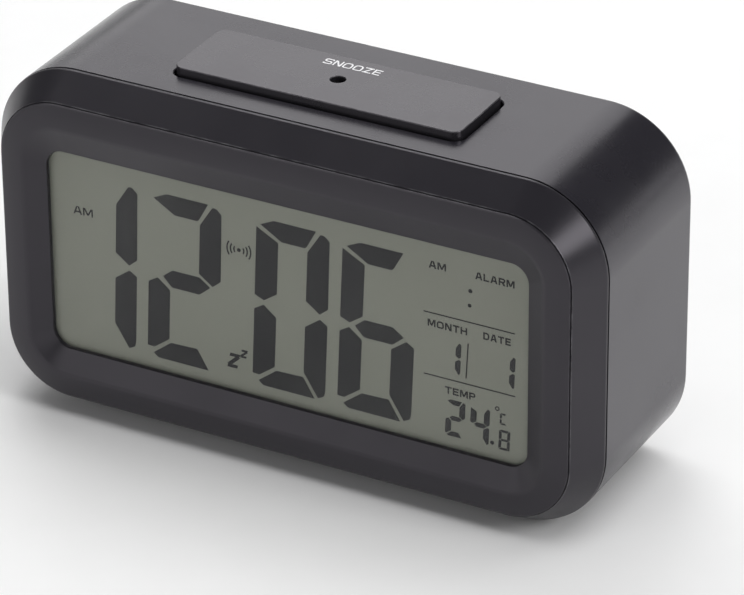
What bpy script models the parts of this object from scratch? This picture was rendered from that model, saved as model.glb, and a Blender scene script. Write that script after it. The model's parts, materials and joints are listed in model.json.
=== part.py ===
"""Battery desk alarm clock: two-part casing, LCD, snooze bar, rear keys and everything that works inside.

All sizes are in millimetres and become metres when a mesh is finished. +Z is up, the display faces -Y,
and the origin is the middle of the footprint on the surface that the rubber feet stand on.
"""

import math

import bmesh
import bpy
from mathutils import Matrix, Vector

MM = 0.001

# Overall
CASE_WIDTH = 139.0
CASE_HEIGHT = 77.0
CASE_DEPTH = 47.0
CORNER_RADIUS = 18.6
CORNER_STEPS = 8
WALL = 2.2
BACK_ROUND = 1.4
REAR_DEPTH = 38.1  # from the seam with the bezel to the back

# Clearances
SEAT = 0.3  # left where one piece rests on another
RUN = 0.5  # left around a piece that slides

# Front bezel: insets are measured from the casing's outline, depths from its front plane
SEAM_GAP = 0.3
SEAM_INSET = 0.45
RIDGE_INSET = 4.55
RIDGE_DEPTH = 0.75
RIM_CROWN = 0.2
FRONT_INSET = 9.5
BORDER_SIDE = 14.4
BORDER_TOP = 16.05
BORDER_BOTTOM = 15.05
WINDOW_RADIUS = 4.0
WINDOW_DEPTH = 2.35
LIP = 0.95
TONGUE = 3.1
TONGUE_WALL = 1.4
RIB = 1.3
POCKET_RADIUS = 0.5

# Display stack, from the front
LENS_DEPTH = 2.45
LENS_THICK = 0.85
LENS_GAP = 0.25
LCD_THICK = 2.0
LCD_RIM = 2.9  # how far the glass reaches past the window on each side
GUIDE_THICK = 2.4
GUIDE_RIM = 1.0
HOLDER_THICK = 4.4
HOLDER_WALL = 2.7
BOARD_THICK = 1.6
ZEBRA_THICK = 1.4

# Snooze bar
BAR_LENGTH = 65.2
BAR_WIDTH = 19.8
BAR_BEHIND_SEAM = 7.1
BAR_PROUD = 1.8
BAR_RADIUS = 2.1
BAR_GAP = 0.3
BAR_WALL = 1.6
BAR_LIP = 1.2
BAR_TRAVEL = 0.6
HANGER_MARGIN = 4.4  # from the end of the bar's lip to the middle of a hanger
SNOOZE_SWITCH_X = -12.0
SENSOR_HOLE = 3.3
SENSOR_HOLE_BEHIND_BAR_EDGE = 10.1

# Rubber feet
FOOT_DIAMETER = 9.0
FOOT_THICK = 1.0
FOOT_PROUD = 0.5
FOOT_FROM_SIDE = 25.0
FOOT_FROM_SEAM = 7.0
FOOT_FROM_BACK = 6.5

# Keys on the back
KEY_NAMES = ("mode", "set", "up", "down", "unit")
KEY_DIAMETER = 6.4
KEY_LIP = 1.0
KEY_FLANGE = KEY_DIAMETER + 2 * KEY_LIP
KEY_PITCH = 16.0
KEY_FIRST_X = -40.0
KEY_BELOW_TOP = 20.0
KEY_PROUD = 0.7
KEY_TRAVEL = 0.4
PANEL_WIDTH = 108.0
PANEL_HEIGHT = 12.0
PANEL_DEPTH = 1.0
TACT = 6.0
TACT_HEIGHT = 3.1
PLUNGER = 3.0
PLUNGER_REACH = 1.2
SLIDE_X = 42.0
SLIDE_TRAVEL = 2.0
SLIDE_KNOB = (3.6, 2.2)
SLIDE_CASE = (10.0, 4.4)

# Battery bay on the back
CELL_DIAMETER = 10.5
CELL_BODY = 43.6
CELL_NUB = 0.9
CELL_GAP = 0.6
CELL_PITCH = CELL_DIAMETER + CELL_GAP
CELL_COUNT = 3
SPRING_LENGTH = 4.6
CONTACT_THICK = 0.4
CONTACT_INSET = 0.85  # how far a contact plate stays inside its cell's outline
BAY_WALL = 2.5
BAY_LEDGE = 1.2
BAY_FLOOR = 1.5
BAY_RAISE = 9.5  # from the casing's underside to the bay's lower inner face
HOOK_X = 16.0
HOOK_WIDTH = 6.0
HOOK_REACH = 1.0
HOOK_THICK = 1.0
LATCH_WIDTH = 12.0
LATCH_LENGTH = 8.0
SLIT = 0.8

# Buzzer, screws and studs
BUZZER_DIAMETER = 20.0
BUZZER_HEIGHT = 4.0
BUZZER_X = 46.0
BUZZER_BELOW_MIDDLE = 9.0
GRILLE_HOLE = 1.8
GRILLE_RADIUS = 4.4
CASE_SCREW_X = 17.5  # from the casing's side
CASE_SCREW_Z = 7.2  # from its top and from its underside
POST_DIAMETER = 7.0
BOSS_DIAMETER = 6.0
WELL_DIAMETER = 5.6
WELL_FLOOR = 3.5
POST_END = 1.0
SCREW_HEAD = (5.0, 1.9)
SCREW_SHANK = 2.2
SCREW_LENGTH = 10.5
BOARD_SCREW_HEAD = (4.0, 1.4)
BOARD_SCREW_SHANK = 1.6
BOARD_SCREW_LENGTH = 6.5
BOARD_BOSS = 5.0
BOARD_BOSS_INSET = 7.2
BOARD_BOSS_SPREAD = 29.0
STUD_DIAMETER = 4.4
PIN_DIAMETER = 1.6
LEAD_DIAMETER = 1.3

# Places that follow from the sizes above
BACK = CASE_DEPTH / 2
FRONT = -BACK
SEAM = BACK - REAR_DEPTH
UNDER = FOOT_PROUD
TOP = UNDER + CASE_HEIGHT
MIDDLE = (UNDER + TOP) / 2
INNER_BACK = BACK - WALL
INNER_TOP = TOP - WALL
WINDOW_X = CASE_WIDTH / 2 - BORDER_SIDE
WINDOW_Z = (CASE_HEIGHT - BORDER_TOP - BORDER_BOTTOM) / 2
WINDOW_MIDDLE = UNDER + BORDER_BOTTOM + WINDOW_Z
WINDOW_BACK = FRONT + WINDOW_DEPTH + LIP
LENS_BACK = FRONT + LENS_DEPTH + LENS_THICK
LCD_FRONT = max(LENS_BACK, WINDOW_BACK) + SEAT
LCD_BACK = LCD_FRONT + LCD_THICK
POCKET_BACK = LCD_BACK + 0.2
HOLDER_FRONT = LCD_BACK + SEAT
HOLDER_BACK = HOLDER_FRONT + HOLDER_THICK
BOARD_FRONT = HOLDER_BACK + SEAT
BOARD_BACK = BOARD_FRONT + BOARD_THICK
BAR_FRONT = SEAM + BAR_BEHIND_SEAM
BAR_MIDDLE = BAR_FRONT + BAR_WIDTH / 2
SENSOR_Y = BAR_FRONT + SENSOR_HOLE_BEHIND_BAR_EDGE
KEY_Z = TOP - KEY_BELOW_TOP
PANEL_FLOOR = BACK - PANEL_DEPTH
KEY_FACE = PANEL_FLOOR + KEY_PROUD
FLANGE_BACK = INNER_BACK - SEAT
FLANGE_FRONT = FLANGE_BACK - 0.7
PLUNGER_TOP = FLANGE_FRONT - SEAT
TACT_TOP = PLUNGER_TOP - 0.8
KEY_BOARD_BACK = TACT_TOP - TACT_HEIGHT - SEAT
KEY_BOARD_FRONT = KEY_BOARD_BACK - BOARD_THICK
TOP_BOARD_TOP = INNER_TOP - 6.7
TOP_BOARD_UNDER = TOP_BOARD_TOP - BOARD_THICK
BAY_X = (CELL_BODY + CELL_NUB + SPRING_LENGTH) / 2 + SEAT + CONTACT_THICK + SEAT
BAY_LOW = UNDER + BAY_RAISE
BAY_HIGH = BAY_LOW + CELL_DIAMETER + CELL_PITCH * (CELL_COUNT - 1) + 0.9
DOOR_FRONT = INNER_BACK + SEAT
DOOR_X = BAY_X + BAY_LEDGE - SEAT
DOOR_LOW = BAY_LOW - BAY_LEDGE + SEAT
DOOR_HIGH = BAY_HIGH + BAY_LEDGE - SEAT
CELL_Y = DOOR_FRONT - 0.65 - CELL_DIAMETER / 2
BAY_BACK = CELL_Y - CELL_DIAMETER / 2 - 0.45
CELL_LOW = BAY_LOW + 0.4 + CELL_DIAMETER / 2
BUZZER_Z = MIDDLE - BUZZER_BELOW_MIDDLE

# Finishes: colour, roughness, metallic
BLACK_SATIN = ((0.022, 0.021, 0.024), 0.42, 0.0)
BLACK_RUBBER = ((0.015, 0.015, 0.016), 0.85, 0.0)
DARK_KEY = ((0.03, 0.03, 0.032), 0.5, 0.0)
CLEAR = ((0.75, 0.77, 0.72), 0.08, 0.0)
LCD_GREY = ((0.17, 0.175, 0.145), 0.3, 0.0)
MILKY = ((0.85, 0.86, 0.84), 0.35, 0.0)
WHITE_PLASTIC = ((0.8, 0.8, 0.78), 0.5, 0.0)
BOARD_GREEN = ((0.02, 0.16, 0.06), 0.45, 0.0)
EPOXY = ((0.012, 0.012, 0.013), 0.25, 0.0)
STEEL = ((0.62, 0.62, 0.64), 0.28, 1.0)
CELL_JACKET = ((0.12, 0.2, 0.34), 0.35, 0.0)
GREY_RUBBER = ((0.35, 0.2, 0.2), 0.7, 0.0)
CABLE_GREY = ((0.45, 0.45, 0.47), 0.5, 0.0)
RED_LEAD = ((0.55, 0.03, 0.02), 0.45, 0.0)
BLACK_LEAD = ((0.02, 0.02, 0.02), 0.45, 0.0)
AMBER = ((0.75, 0.5, 0.2), 0.2, 0.0)


def clear_scene():
    for old in list(bpy.data.objects):
        bpy.data.objects.remove(old, do_unlink=True)


def finish_for(name, finish):
    colour, roughness, metallic = finish
    material = bpy.data.materials.new(name + "_finish")
    material.use_nodes = True
    shader = material.node_tree.nodes["Principled BSDF"]
    shader.inputs["Base Color"].default_value = (*colour, 1.0)
    shader.inputs["Roughness"].default_value = roughness
    shader.inputs["Metallic"].default_value = metallic
    return material


# Shapes


def rounded(half_x, half_z, radius, y, middle=MIDDLE, middle_x=0.0, steps=CORNER_STEPS):
    """A rounded rectangle in the XZ plane at depth y, counter-clockwise as seen from the front."""
    points = []
    for turn, (side_x, side_z) in enumerate(((1, -1), (1, 1), (-1, 1), (-1, -1))):
        for step in range(steps + 1):
            angle = math.pi / 2 * (turn - 1 + step / steps)
            x = middle_x + side_x * (half_x - radius) + radius * math.cos(angle)
            z = middle + side_z * (half_z - radius) + radius * math.sin(angle)
            points.append((x, y, z))
    return points


def outline(inset, y):
    """The casing's outline, drawn in by inset, at depth y."""
    return rounded(CASE_WIDTH / 2 - inset, CASE_HEIGHT / 2 - inset, CORNER_RADIUS - inset, y)


def around_window(grow, y, radius):
    """The window's outline, grown on every side, at depth y."""
    return rounded(WINDOW_X + grow, WINDOW_Z + grow, radius, y, WINDOW_MIDDLE)


def loft(loops, ring=False):
    """A solid through loops of equal length. A ring joins its last loop to its first, others are capped."""
    shape = bmesh.new()
    rows = [[shape.verts.new(point) for point in loop] for loop in loops]
    pairs = list(zip(rows, rows[1:]))
    if ring:
        pairs.append((rows[-1], rows[0]))
    else:
        shape.faces.new(rows[0])
        shape.faces.new(rows[-1])
    for near, far in pairs:
        for i in range(len(near)):
            j = (i + 1) % len(near)
            shape.faces.new((near[i], near[j], far[j], far[i]))
    bmesh.ops.recalc_face_normals(shape, faces=shape.faces)
    return shape


def block(x, y, z, edge=0.0):
    """A box between pairs of limits, with its edges broken by edge."""
    shape = bmesh.new()
    middle = Vector([(low + high) / 2 for low, high in (x, y, z)])
    size = Vector([high - low for low, high in (x, y, z)])
    place = Matrix.Translation(middle) @ Matrix.Diagonal((*size, 1.0))
    bmesh.ops.create_cube(shape, size=1.0, matrix=place)
    if edge:
        bmesh.ops.bevel(shape, geom=shape.edges[:], offset=edge, segments=1, profile=0.5, affect="EDGES")
    return shape


def turned(profile, foot, along, steps=20):
    """A turned solid: (radius, height) pairs on the axis that starts at foot and runs along a direction."""
    turn = Vector(along).to_track_quat("Z", "Y").to_matrix()
    loops = []
    for radius, height in profile:
        loop = []
        for step in range(steps):
            angle = 2 * math.pi * step / steps
            local = Vector((radius * math.cos(angle), radius * math.sin(angle), height))
            loop.append(Vector(foot) + turn @ local)
        loops.append(loop)
    return loft(loops)


def rod(foot, along, diameter, length, steps=20):
    return turned([(diameter / 2, 0.0), (diameter / 2, length)], foot, along, steps)


def coil(foot, along, wide, narrow, length, wire, turns=3, steps=10, sides=5):
    """A conical spring whose first turn starts inside what it stands on."""
    turn = Vector(along).to_track_quat("Z", "Y").to_matrix()
    loops = []
    for step in range(turns * steps + 1):
        part = step / (turns * steps)
        angle = 2 * math.pi * turns * part
        radius = wide + (narrow - wide) * part
        outward = Vector((math.cos(angle), math.sin(angle), 0.0))
        middle = outward * radius + Vector((0.0, 0.0, length * part))
        loop = []
        for side in range(sides):
            tilt = 2 * math.pi * side / sides
            offset = outward * math.cos(tilt) + Vector((0.0, 0.0, math.sin(tilt)))
            loop.append(Vector(foot) + turn @ (middle + offset * wire / 2))
        loops.append(loop)
    return loft(loops)


def merged(*shapes):
    """Several separate solids as one mesh."""
    whole = bmesh.new()
    for shape in shapes:
        mesh = bpy.data.meshes.new("merged")
        shape.to_mesh(mesh)
        shape.free()
        whole.from_mesh(mesh)
        bpy.data.meshes.remove(mesh)
    return whole


def smooth_path(points, per_span=6):
    """A rounded line through a few chosen points."""
    points = [Vector(point) for point in points]
    padded = [points[0] * 2 - points[1], *points, points[-1] * 2 - points[-2]]
    path = []
    for a, b, c, d in zip(padded, padded[1:], padded[2:], padded[3:]):
        for step in range(per_span):
            t = step / per_span
            bend = (2 * a - 5 * b + 4 * c - d) * t * t + (3 * b - a - 3 * c + d) * t * t * t
            path.append((2 * b + (c - a) * t + bend) / 2)
    path.append(points[-1])
    return path


def ribbon(points, width, thick):
    """A flat cable whose middle line lies in a YZ plane."""
    path = smooth_path(points)
    loops = []
    for i, point in enumerate(path):
        ahead = path[min(i + 1, len(path) - 1)] - path[max(i - 1, 0)]
        normal = Vector((0.0, -ahead.z, ahead.y)).normalized() * thick / 2
        side = Vector((width / 2, 0.0, 0.0))
        corners = (side + normal, normal - side, -side - normal, side - normal)
        loops.append([point + corner for corner in corners])
    return loft(loops)


# Objects


def piece(name, shape, finish, origin=(0.0, 0.0, 0.0)):
    """A named part with its own finish and with its origin where it is asked for."""
    bmesh.ops.translate(shape, vec=-Vector(origin), verts=shape.verts)
    bmesh.ops.scale(shape, vec=(MM, MM, MM), verts=shape.verts)
    mesh = bpy.data.meshes.new(name)
    shape.to_mesh(mesh)
    shape.free()
    mesh.shade_smooth()
    mesh.set_sharp_from_angle(angle=math.radians(35))
    mesh.materials.append(finish_for(name, finish))
    made = bpy.data.objects.new(name, mesh)
    made.location = Vector(origin) * MM
    bpy.context.collection.objects.link(made)
    return made


def shaped(body, operation, name, *shapes):
    """Adds shapes to a part or cuts them from it with one Boolean."""
    tool = merged(*shapes)
    bmesh.ops.scale(tool, vec=(MM, MM, MM), verts=tool.verts)
    mesh = bpy.data.meshes.new(name)
    tool.to_mesh(mesh)
    tool.free()
    helper = bpy.data.objects.new(name, mesh)
    helper.hide_render = True
    helper.display_type = "WIRE"
    bpy.context.collection.objects.link(helper)
    helper.parent = body
    helper.matrix_parent_inverse = Matrix.Translation(-body.location)
    modifier = body.modifiers.new(name, "BOOLEAN")
    modifier.operation = operation
    modifier.solver = "EXACT"
    modifier.object = helper


def join(body, name, *shapes):
    shaped(body, "UNION", name, *shapes)


def cut(body, name, *shapes):
    shaped(body, "DIFFERENCE", name, *shapes)


def lead(name, points, finish):
    """An insulated wire along a smooth path."""
    path = smooth_path(points, 3)
    curve = bpy.data.curves.new(name, "CURVE")
    curve.dimensions = "3D"
    curve.bevel_depth = LEAD_DIAMETER / 2 * MM
    curve.bevel_resolution = 2
    curve.use_fill_caps = True
    spline = curve.splines.new("POLY")
    spline.points.add(len(path) - 1)
    for target, point in zip(spline.points, path):
        target.co = (*(point * MM), 1.0)
    curve.materials.append(finish_for(name, finish))
    made = bpy.data.objects.new(name, curve)
    bpy.context.collection.objects.link(made)


# Casing


def case_screw_places():
    for side, x in (("left", -1), ("right", 1)):
        for level, z in (("lower", UNDER + CASE_SCREW_Z), ("upper", TOP - CASE_SCREW_Z)):
            yield f"{level}_{side}", x * (CASE_WIDTH / 2 - CASE_SCREW_X), z


def board_screw_places():
    for side, x in (("left", -1), ("right", 1)):
        for level, lift in (("lower", -0.5), ("upper", 0.5)):
            place = x * (CASE_WIDTH / 2 - BOARD_BOSS_INSET)
            yield f"{level}_{side}", place, WINDOW_MIDDLE + lift * BOARD_BOSS_SPREAD


def key_stud_places():
    return KEY_FIRST_X + KEY_PITCH / 2, KEY_FIRST_X + KEY_PITCH * 3.5


def hanger_places():
    reach = BAR_LENGTH / 2 + BAR_LIP + HANGER_MARGIN
    return -reach, reach


def grille_places():
    """One hole in the middle and six around it."""
    yield BUZZER_X, BUZZER_Z
    for step in range(6):
        angle = math.pi / 3 * step
        yield BUZZER_X + GRILLE_RADIUS * math.cos(angle), BUZZER_Z + GRILLE_RADIUS * math.sin(angle)


def foot_places():
    for side, x in (("left", -1), ("right", 1)):
        for end, y in (("front", SEAM + FOOT_FROM_SEAM), ("rear", BACK - FOOT_FROM_BACK)):
            yield f"{end}_{side}", x * (CASE_WIDTH / 2 - FOOT_FROM_SIDE), y


def rear_casing():
    rounding = []
    for step in range(4):
        angle = math.pi / 6 * step
        drawn_in = BACK_ROUND * (1 - math.cos(angle))
        rounding.append(outline(drawn_in, BACK - BACK_ROUND * (1 - math.sin(angle))))
    inside = [outline(WALL + 1.0, INNER_BACK), outline(WALL, INNER_BACK - 1.0), outline(WALL, SEAM)]
    casing = piece("rear_casing", loft(inside + [outline(0.0, SEAM)] + rounding), BLACK_SATIN)
    into_back = INNER_BACK + WALL / 2
    into_top = INNER_TOP + WALL / 2
    bay = block(
        (-BAY_X - BAY_WALL, BAY_X + BAY_WALL),
        (BAY_BACK - BAY_FLOOR, into_back),
        (BAY_LOW - BAY_WALL, BAY_HIGH + BAY_WALL),
    )
    posts = [
        rod((x, POST_END, z), (0, 1, 0), POST_DIAMETER, into_back - POST_END)
        for _, x, z in case_screw_places()
    ]
    studs = [
        turned(
            [
                (PIN_DIAMETER / 2, 0.0),
                (PIN_DIAMETER / 2, BOARD_THICK + 1.0 + SEAT),
                (STUD_DIAMETER / 2, BOARD_THICK + 1.0 + SEAT),
                (STUD_DIAMETER / 2, into_back - KEY_BOARD_FRONT + 1.0),
            ],
            (x, KEY_BOARD_FRONT - 1.0, KEY_Z),
            (0, 1, 0),
            16,
        )
        for x in key_stud_places()
    ]
    hangers = [
        turned(
            [
                (PIN_DIAMETER / 2, 0.0),
                (PIN_DIAMETER / 2, BOARD_THICK + 1.0 + SEAT),
                (STUD_DIAMETER / 2, BOARD_THICK + 1.0 + SEAT),
                (STUD_DIAMETER / 2, into_top - TOP_BOARD_UNDER + 1.0),
            ],
            (x, BAR_MIDDLE, TOP_BOARD_UNDER - 1.0),
            (0, 0, 1),
            16,
        )
        for x in hanger_places()
    ]
    ring_depth = BUZZER_HEIGHT + SEAT
    collar = rod(
        (BUZZER_X, INNER_BACK - ring_depth, BUZZER_Z),
        (0, 1, 0),
        BUZZER_DIAMETER + 2 * SEAT + 2 * RIB,
        ring_depth + WALL / 2,
        32,
    )
    join(casing, "casing_bosses", bay, collar, *posts, *studs, *hangers)
    bay_hollow = block((-BAY_X, BAY_X), (BAY_BACK, BACK + 1), (BAY_LOW, BAY_HIGH))
    wells = [
        rod((x, POST_END + WELL_FLOOR, z), (0, 1, 0), WELL_DIAMETER, BACK - POST_END)
        for _, x, z in case_screw_places()
    ]
    slot = loft([bar_outline(BAR_GAP, INNER_TOP - 1), bar_outline(BAR_GAP, TOP + 1)])
    panel = loft(
        [
            rounded(PANEL_WIDTH / 2, PANEL_HEIGHT / 2, 4.0, PANEL_FLOOR, KEY_Z, 0.0, 4),
            rounded(PANEL_WIDTH / 2, PANEL_HEIGHT / 2, 4.0, BACK + 1, KEY_Z, 0.0, 4),
        ]
    )
    sockets = [
        rod((x, y, UNDER - 1), (0, 0, 1), FOOT_DIAMETER + 2 * SEAT, 1 + FOOT_THICK - FOOT_PROUD + SEAT)
        for _, x, y in foot_places()
    ]
    seat_for_buzzer = rod(
        (BUZZER_X, INNER_BACK - ring_depth - 1, BUZZER_Z),
        (0, 1, 0),
        BUZZER_DIAMETER + 2 * SEAT,
        ring_depth + 1,
        32,
    )
    cut(casing, "casing_hollows", bay_hollow, slot, panel, seat_for_buzzer, *wells, *sockets)
    opening = block(
        (-DOOR_X - SEAT, DOOR_X + SEAT), (INNER_BACK, BACK + 1), (DOOR_LOW - SEAT, DOOR_HIGH + SEAT)
    )
    notches = [
        block(
            (x - HOOK_WIDTH / 2 - RUN, x + HOOK_WIDTH / 2 + RUN),
            (INNER_BACK - 2.1, INNER_BACK + 0.01),
            (BAY_LOW - BAY_WALL - 1, BAY_LOW + 1),
        )
        for x in (-HOOK_X, HOOK_X)
    ]
    cut(casing, "door_opening", opening)
    cut(casing, "hook_notches", *notches)
    holes = [
        rod((x, INNER_BACK - 1, KEY_Z), (0, 1, 0), KEY_DIAMETER + 2 * SEAT, WALL + 2) for _, x in key_places()
    ]
    half_slot = SLIDE_TRAVEL / 2 + SLIDE_KNOB[0] / 2 + RUN
    switch_slot = block(
        (SLIDE_X - half_slot, SLIDE_X + half_slot),
        (INNER_BACK - 1, BACK + 1),
        (KEY_Z - SLIDE_KNOB[1] / 2 - RUN, KEY_Z + SLIDE_KNOB[1] / 2 + RUN),
    )
    grille = [rod((x, INNER_BACK - 0.5, z), (0, 1, 0), GRILLE_HOLE, WALL + 2, 12) for x, z in grille_places()]
    screw_holes = [
        rod((x, POST_END - 1, z), (0, 1, 0), SCREW_SHANK + 2 * SEAT, WELL_FLOOR + 2, 16)
        for _, x, z in case_screw_places()
    ]
    lead_holes = [
        rod(
            (side * (BAY_X - 1), CELL_Y, CELL_LOW + CELL_PITCH * count),
            (side, 0, 0),
            LEAD_DIAMETER + 2 * SEAT,
            BAY_WALL + 2,
            12,
        )
        for side, count in ((-1, 0), (1, CELL_COUNT - 1))
    ]
    cut(casing, "casing_holes", switch_slot, *holes, *grille, *screw_holes, *lead_holes)


def bar_outline(grow, z):
    """The snooze bar's outline in the XY plane at height z."""
    flat = rounded(BAR_LENGTH / 2 + grow, BAR_WIDTH / 2 + grow, BAR_RADIUS + grow, 0.0, 0.0, 0.0, 5)
    return [(x, BAR_MIDDLE + y, z) for x, _, y in flat]


def front_bezel():
    skirt = SEAM - SEAM_GAP
    tongue_outer = WALL + SEAT
    tongue_inner = tongue_outer + TONGUE_WALL
    rib = LCD_RIM + SEAT
    ridge = FRONT + RIDGE_DEPTH
    section = [
        outline(SEAM_INSET + 0.15, skirt),
        outline(SEAM_INSET, skirt - 0.3),
        outline(RIDGE_INSET - 0.2, ridge + 0.3),
        outline(RIDGE_INSET + 0.25, ridge - 0.1),
        outline((RIDGE_INSET + FRONT_INSET) / 2, FRONT + RIDGE_DEPTH / 2 - RIM_CROWN),
        outline(FRONT_INSET - 0.8, FRONT + 0.03),
        outline(FRONT_INSET + 0.4, FRONT),
        outline(FRONT_INSET + 1.2, FRONT + 0.25),
        around_window(0.0, FRONT + WINDOW_DEPTH, WINDOW_RADIUS),
        around_window(0.0, WINDOW_BACK, WINDOW_RADIUS),
        around_window(rib, WINDOW_BACK, POCKET_RADIUS),
        around_window(rib, POCKET_BACK, POCKET_RADIUS),
        around_window(rib + RIB, POCKET_BACK, POCKET_RADIUS + RIB),
        around_window(rib + RIB, WINDOW_BACK - 0.7, POCKET_RADIUS + RIB),
        outline(RIDGE_INSET + 2.6, WINDOW_BACK - 0.5),
        outline(RIDGE_INSET - 0.1, WINDOW_BACK + 3.0),
        outline(tongue_inner, skirt - 1.0),
        outline(tongue_inner, skirt + TONGUE),
        outline(tongue_outer, skirt + TONGUE),
        outline(tongue_outer, skirt),
    ]
    bezel = piece("front_bezel", loft(section, ring=True), BLACK_SATIN)
    base = WINDOW_BACK - 1.3
    boss_end = POST_END - SEAT
    board_base = base + 0.3
    board_end = BOARD_FRONT - SEAT
    case_bosses = [
        rod((x, base, z), (0, 1, 0), BOSS_DIAMETER, boss_end - base)
        for _, x, z in case_screw_places()
    ]
    board_bosses = [
        rod((x, board_base, z), (0, 1, 0), BOARD_BOSS, board_end - board_base)
        for _, x, z in board_screw_places()
    ]
    join(bezel, "bezel_bosses", *case_bosses, *board_bosses)
    case_pilots = [
        rod((x, boss_end - 9.0, z), (0, 1, 0), SCREW_SHANK + 2 * SEAT, 10.0, 16)
        for _, x, z in case_screw_places()
    ]
    board_pilots = [
        rod((x, board_end - 6.0, z), (0, 1, 0), BOARD_SCREW_SHANK + 2 * SEAT, 7.0, 16)
        for _, x, z in board_screw_places()
    ]
    cut(bezel, "bezel_pilots", *case_pilots, *board_pilots)


def feet():
    for name, x, y in foot_places():
        shape = turned(
            [(FOOT_DIAMETER / 2 - 0.2, 0.0), (FOOT_DIAMETER / 2, 0.2), (FOOT_DIAMETER / 2, FOOT_THICK)],
            (x, y, 0.0),
            (0, 0, 1),
        )
        piece("foot_" + name, shape, BLACK_RUBBER)


def case_screws():
    head, height = SCREW_HEAD
    seat = POST_END + WELL_FLOOR + SEAT
    for name, x, z in case_screw_places():
        profile = [
            (SCREW_SHANK / 2 - 0.5, 0.0),
            (SCREW_SHANK / 2, 0.8),
            (SCREW_SHANK / 2, SCREW_LENGTH),
            (head / 2, SCREW_LENGTH),
            (head / 2, SCREW_LENGTH + height - 0.7),
            (head / 2 - 0.7, SCREW_LENGTH + height),
        ]
        shape = turned(profile, (x, seat - SCREW_LENGTH, z), (0, 1, 0), 16)
        screw = piece("case_screw_" + name, shape, STEEL)
        cross_recess(screw, x, seat + height, z, head)


def cross_recess(screw, x, top, z, head):
    reach = head * 0.28
    width = 0.35
    for turn, (half_x, half_z) in enumerate(((reach, width), (width, reach))):
        bar = block((x - half_x, x + half_x), (top - 0.9, top + 1), (z - half_z, z + half_z))
        cut(screw, f"{screw.name}_recess_{turn + 1}", bar)


# Display and main board


def display():
    lens = [around_window(-LENS_GAP, y, WINDOW_RADIUS - LENS_GAP) for y in (FRONT + LENS_DEPTH, LENS_BACK)]
    piece("display_lens", loft(lens), CLEAR)
    glass = block(
        (-WINDOW_X - LCD_RIM, WINDOW_X + LCD_RIM),
        (LCD_FRONT, LCD_BACK),
        (WINDOW_MIDDLE - WINDOW_Z - LCD_RIM, WINDOW_MIDDLE + WINDOW_Z + LCD_RIM),
        0.2,
    )
    piece("lcd_panel", glass, LCD_GREY)
    guide_x = WINDOW_X + GUIDE_RIM
    guide_z = WINDOW_Z + GUIDE_RIM - 1.0
    guide = block(
        (-guide_x, guide_x),
        (HOLDER_FRONT, HOLDER_FRONT + GUIDE_THICK),
        (WINDOW_MIDDLE - guide_z, WINDOW_MIDDLE + guide_z),
        0.2,
    )
    piece("light_guide", guide, MILKY)
    holder_x = guide_x + SEAT + HOLDER_WALL
    low = WINDOW_MIDDLE - WINDOW_Z - LCD_RIM - 1.0
    high = WINDOW_MIDDLE + WINDOW_Z + LCD_RIM + 1.0
    frame = block((-holder_x, holder_x), (HOLDER_FRONT, HOLDER_BACK), (low, high))
    holder = piece("lcd_holder", frame, WHITE_PLASTIC)
    shelf = HOLDER_FRONT + GUIDE_THICK + SEAT
    window = block(
        (-guide_x - SEAT, guide_x + SEAT),
        (HOLDER_FRONT - 1, shelf),
        (WINDOW_MIDDLE - guide_z - SEAT, WINDOW_MIDDLE + guide_z + SEAT),
    )
    zebra_z = (low + 0.9 + SEAT, low + 0.9 + SEAT + ZEBRA_THICK)
    zebra_x = WINDOW_X - 3.0
    groove = block(
        (-zebra_x - SEAT, zebra_x + SEAT),
        (HOLDER_FRONT - 1, HOLDER_BACK + 1),
        (zebra_z[0] - SEAT, zebra_z[1] + SEAT),
    )
    led_pocket = block(
        (guide_x - 1, guide_x + SEAT + 1.8),
        (HOLDER_FRONT - 1, HOLDER_BACK + 1),
        (WINDOW_MIDDLE - 3, WINDOW_MIDDLE + 3),
    )
    cut(holder, "guide_seat", window)
    cut(holder, "zebra_groove", groove)
    cut(holder, "led_pocket", led_pocket)
    strip = block((-zebra_x, zebra_x), (HOLDER_FRONT, HOLDER_BACK), zebra_z)
    piece("zebra_strip", strip, GREY_RUBBER)
    led = block(
        (guide_x + SEAT, guide_x + SEAT + 1.4),
        (HOLDER_FRONT + 0.2, HOLDER_BACK),
        (WINDOW_MIDDLE - 1.8, WINDOW_MIDDLE + 1.8),
        0.15,
    )
    piece("backlight_led", led, AMBER)


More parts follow.
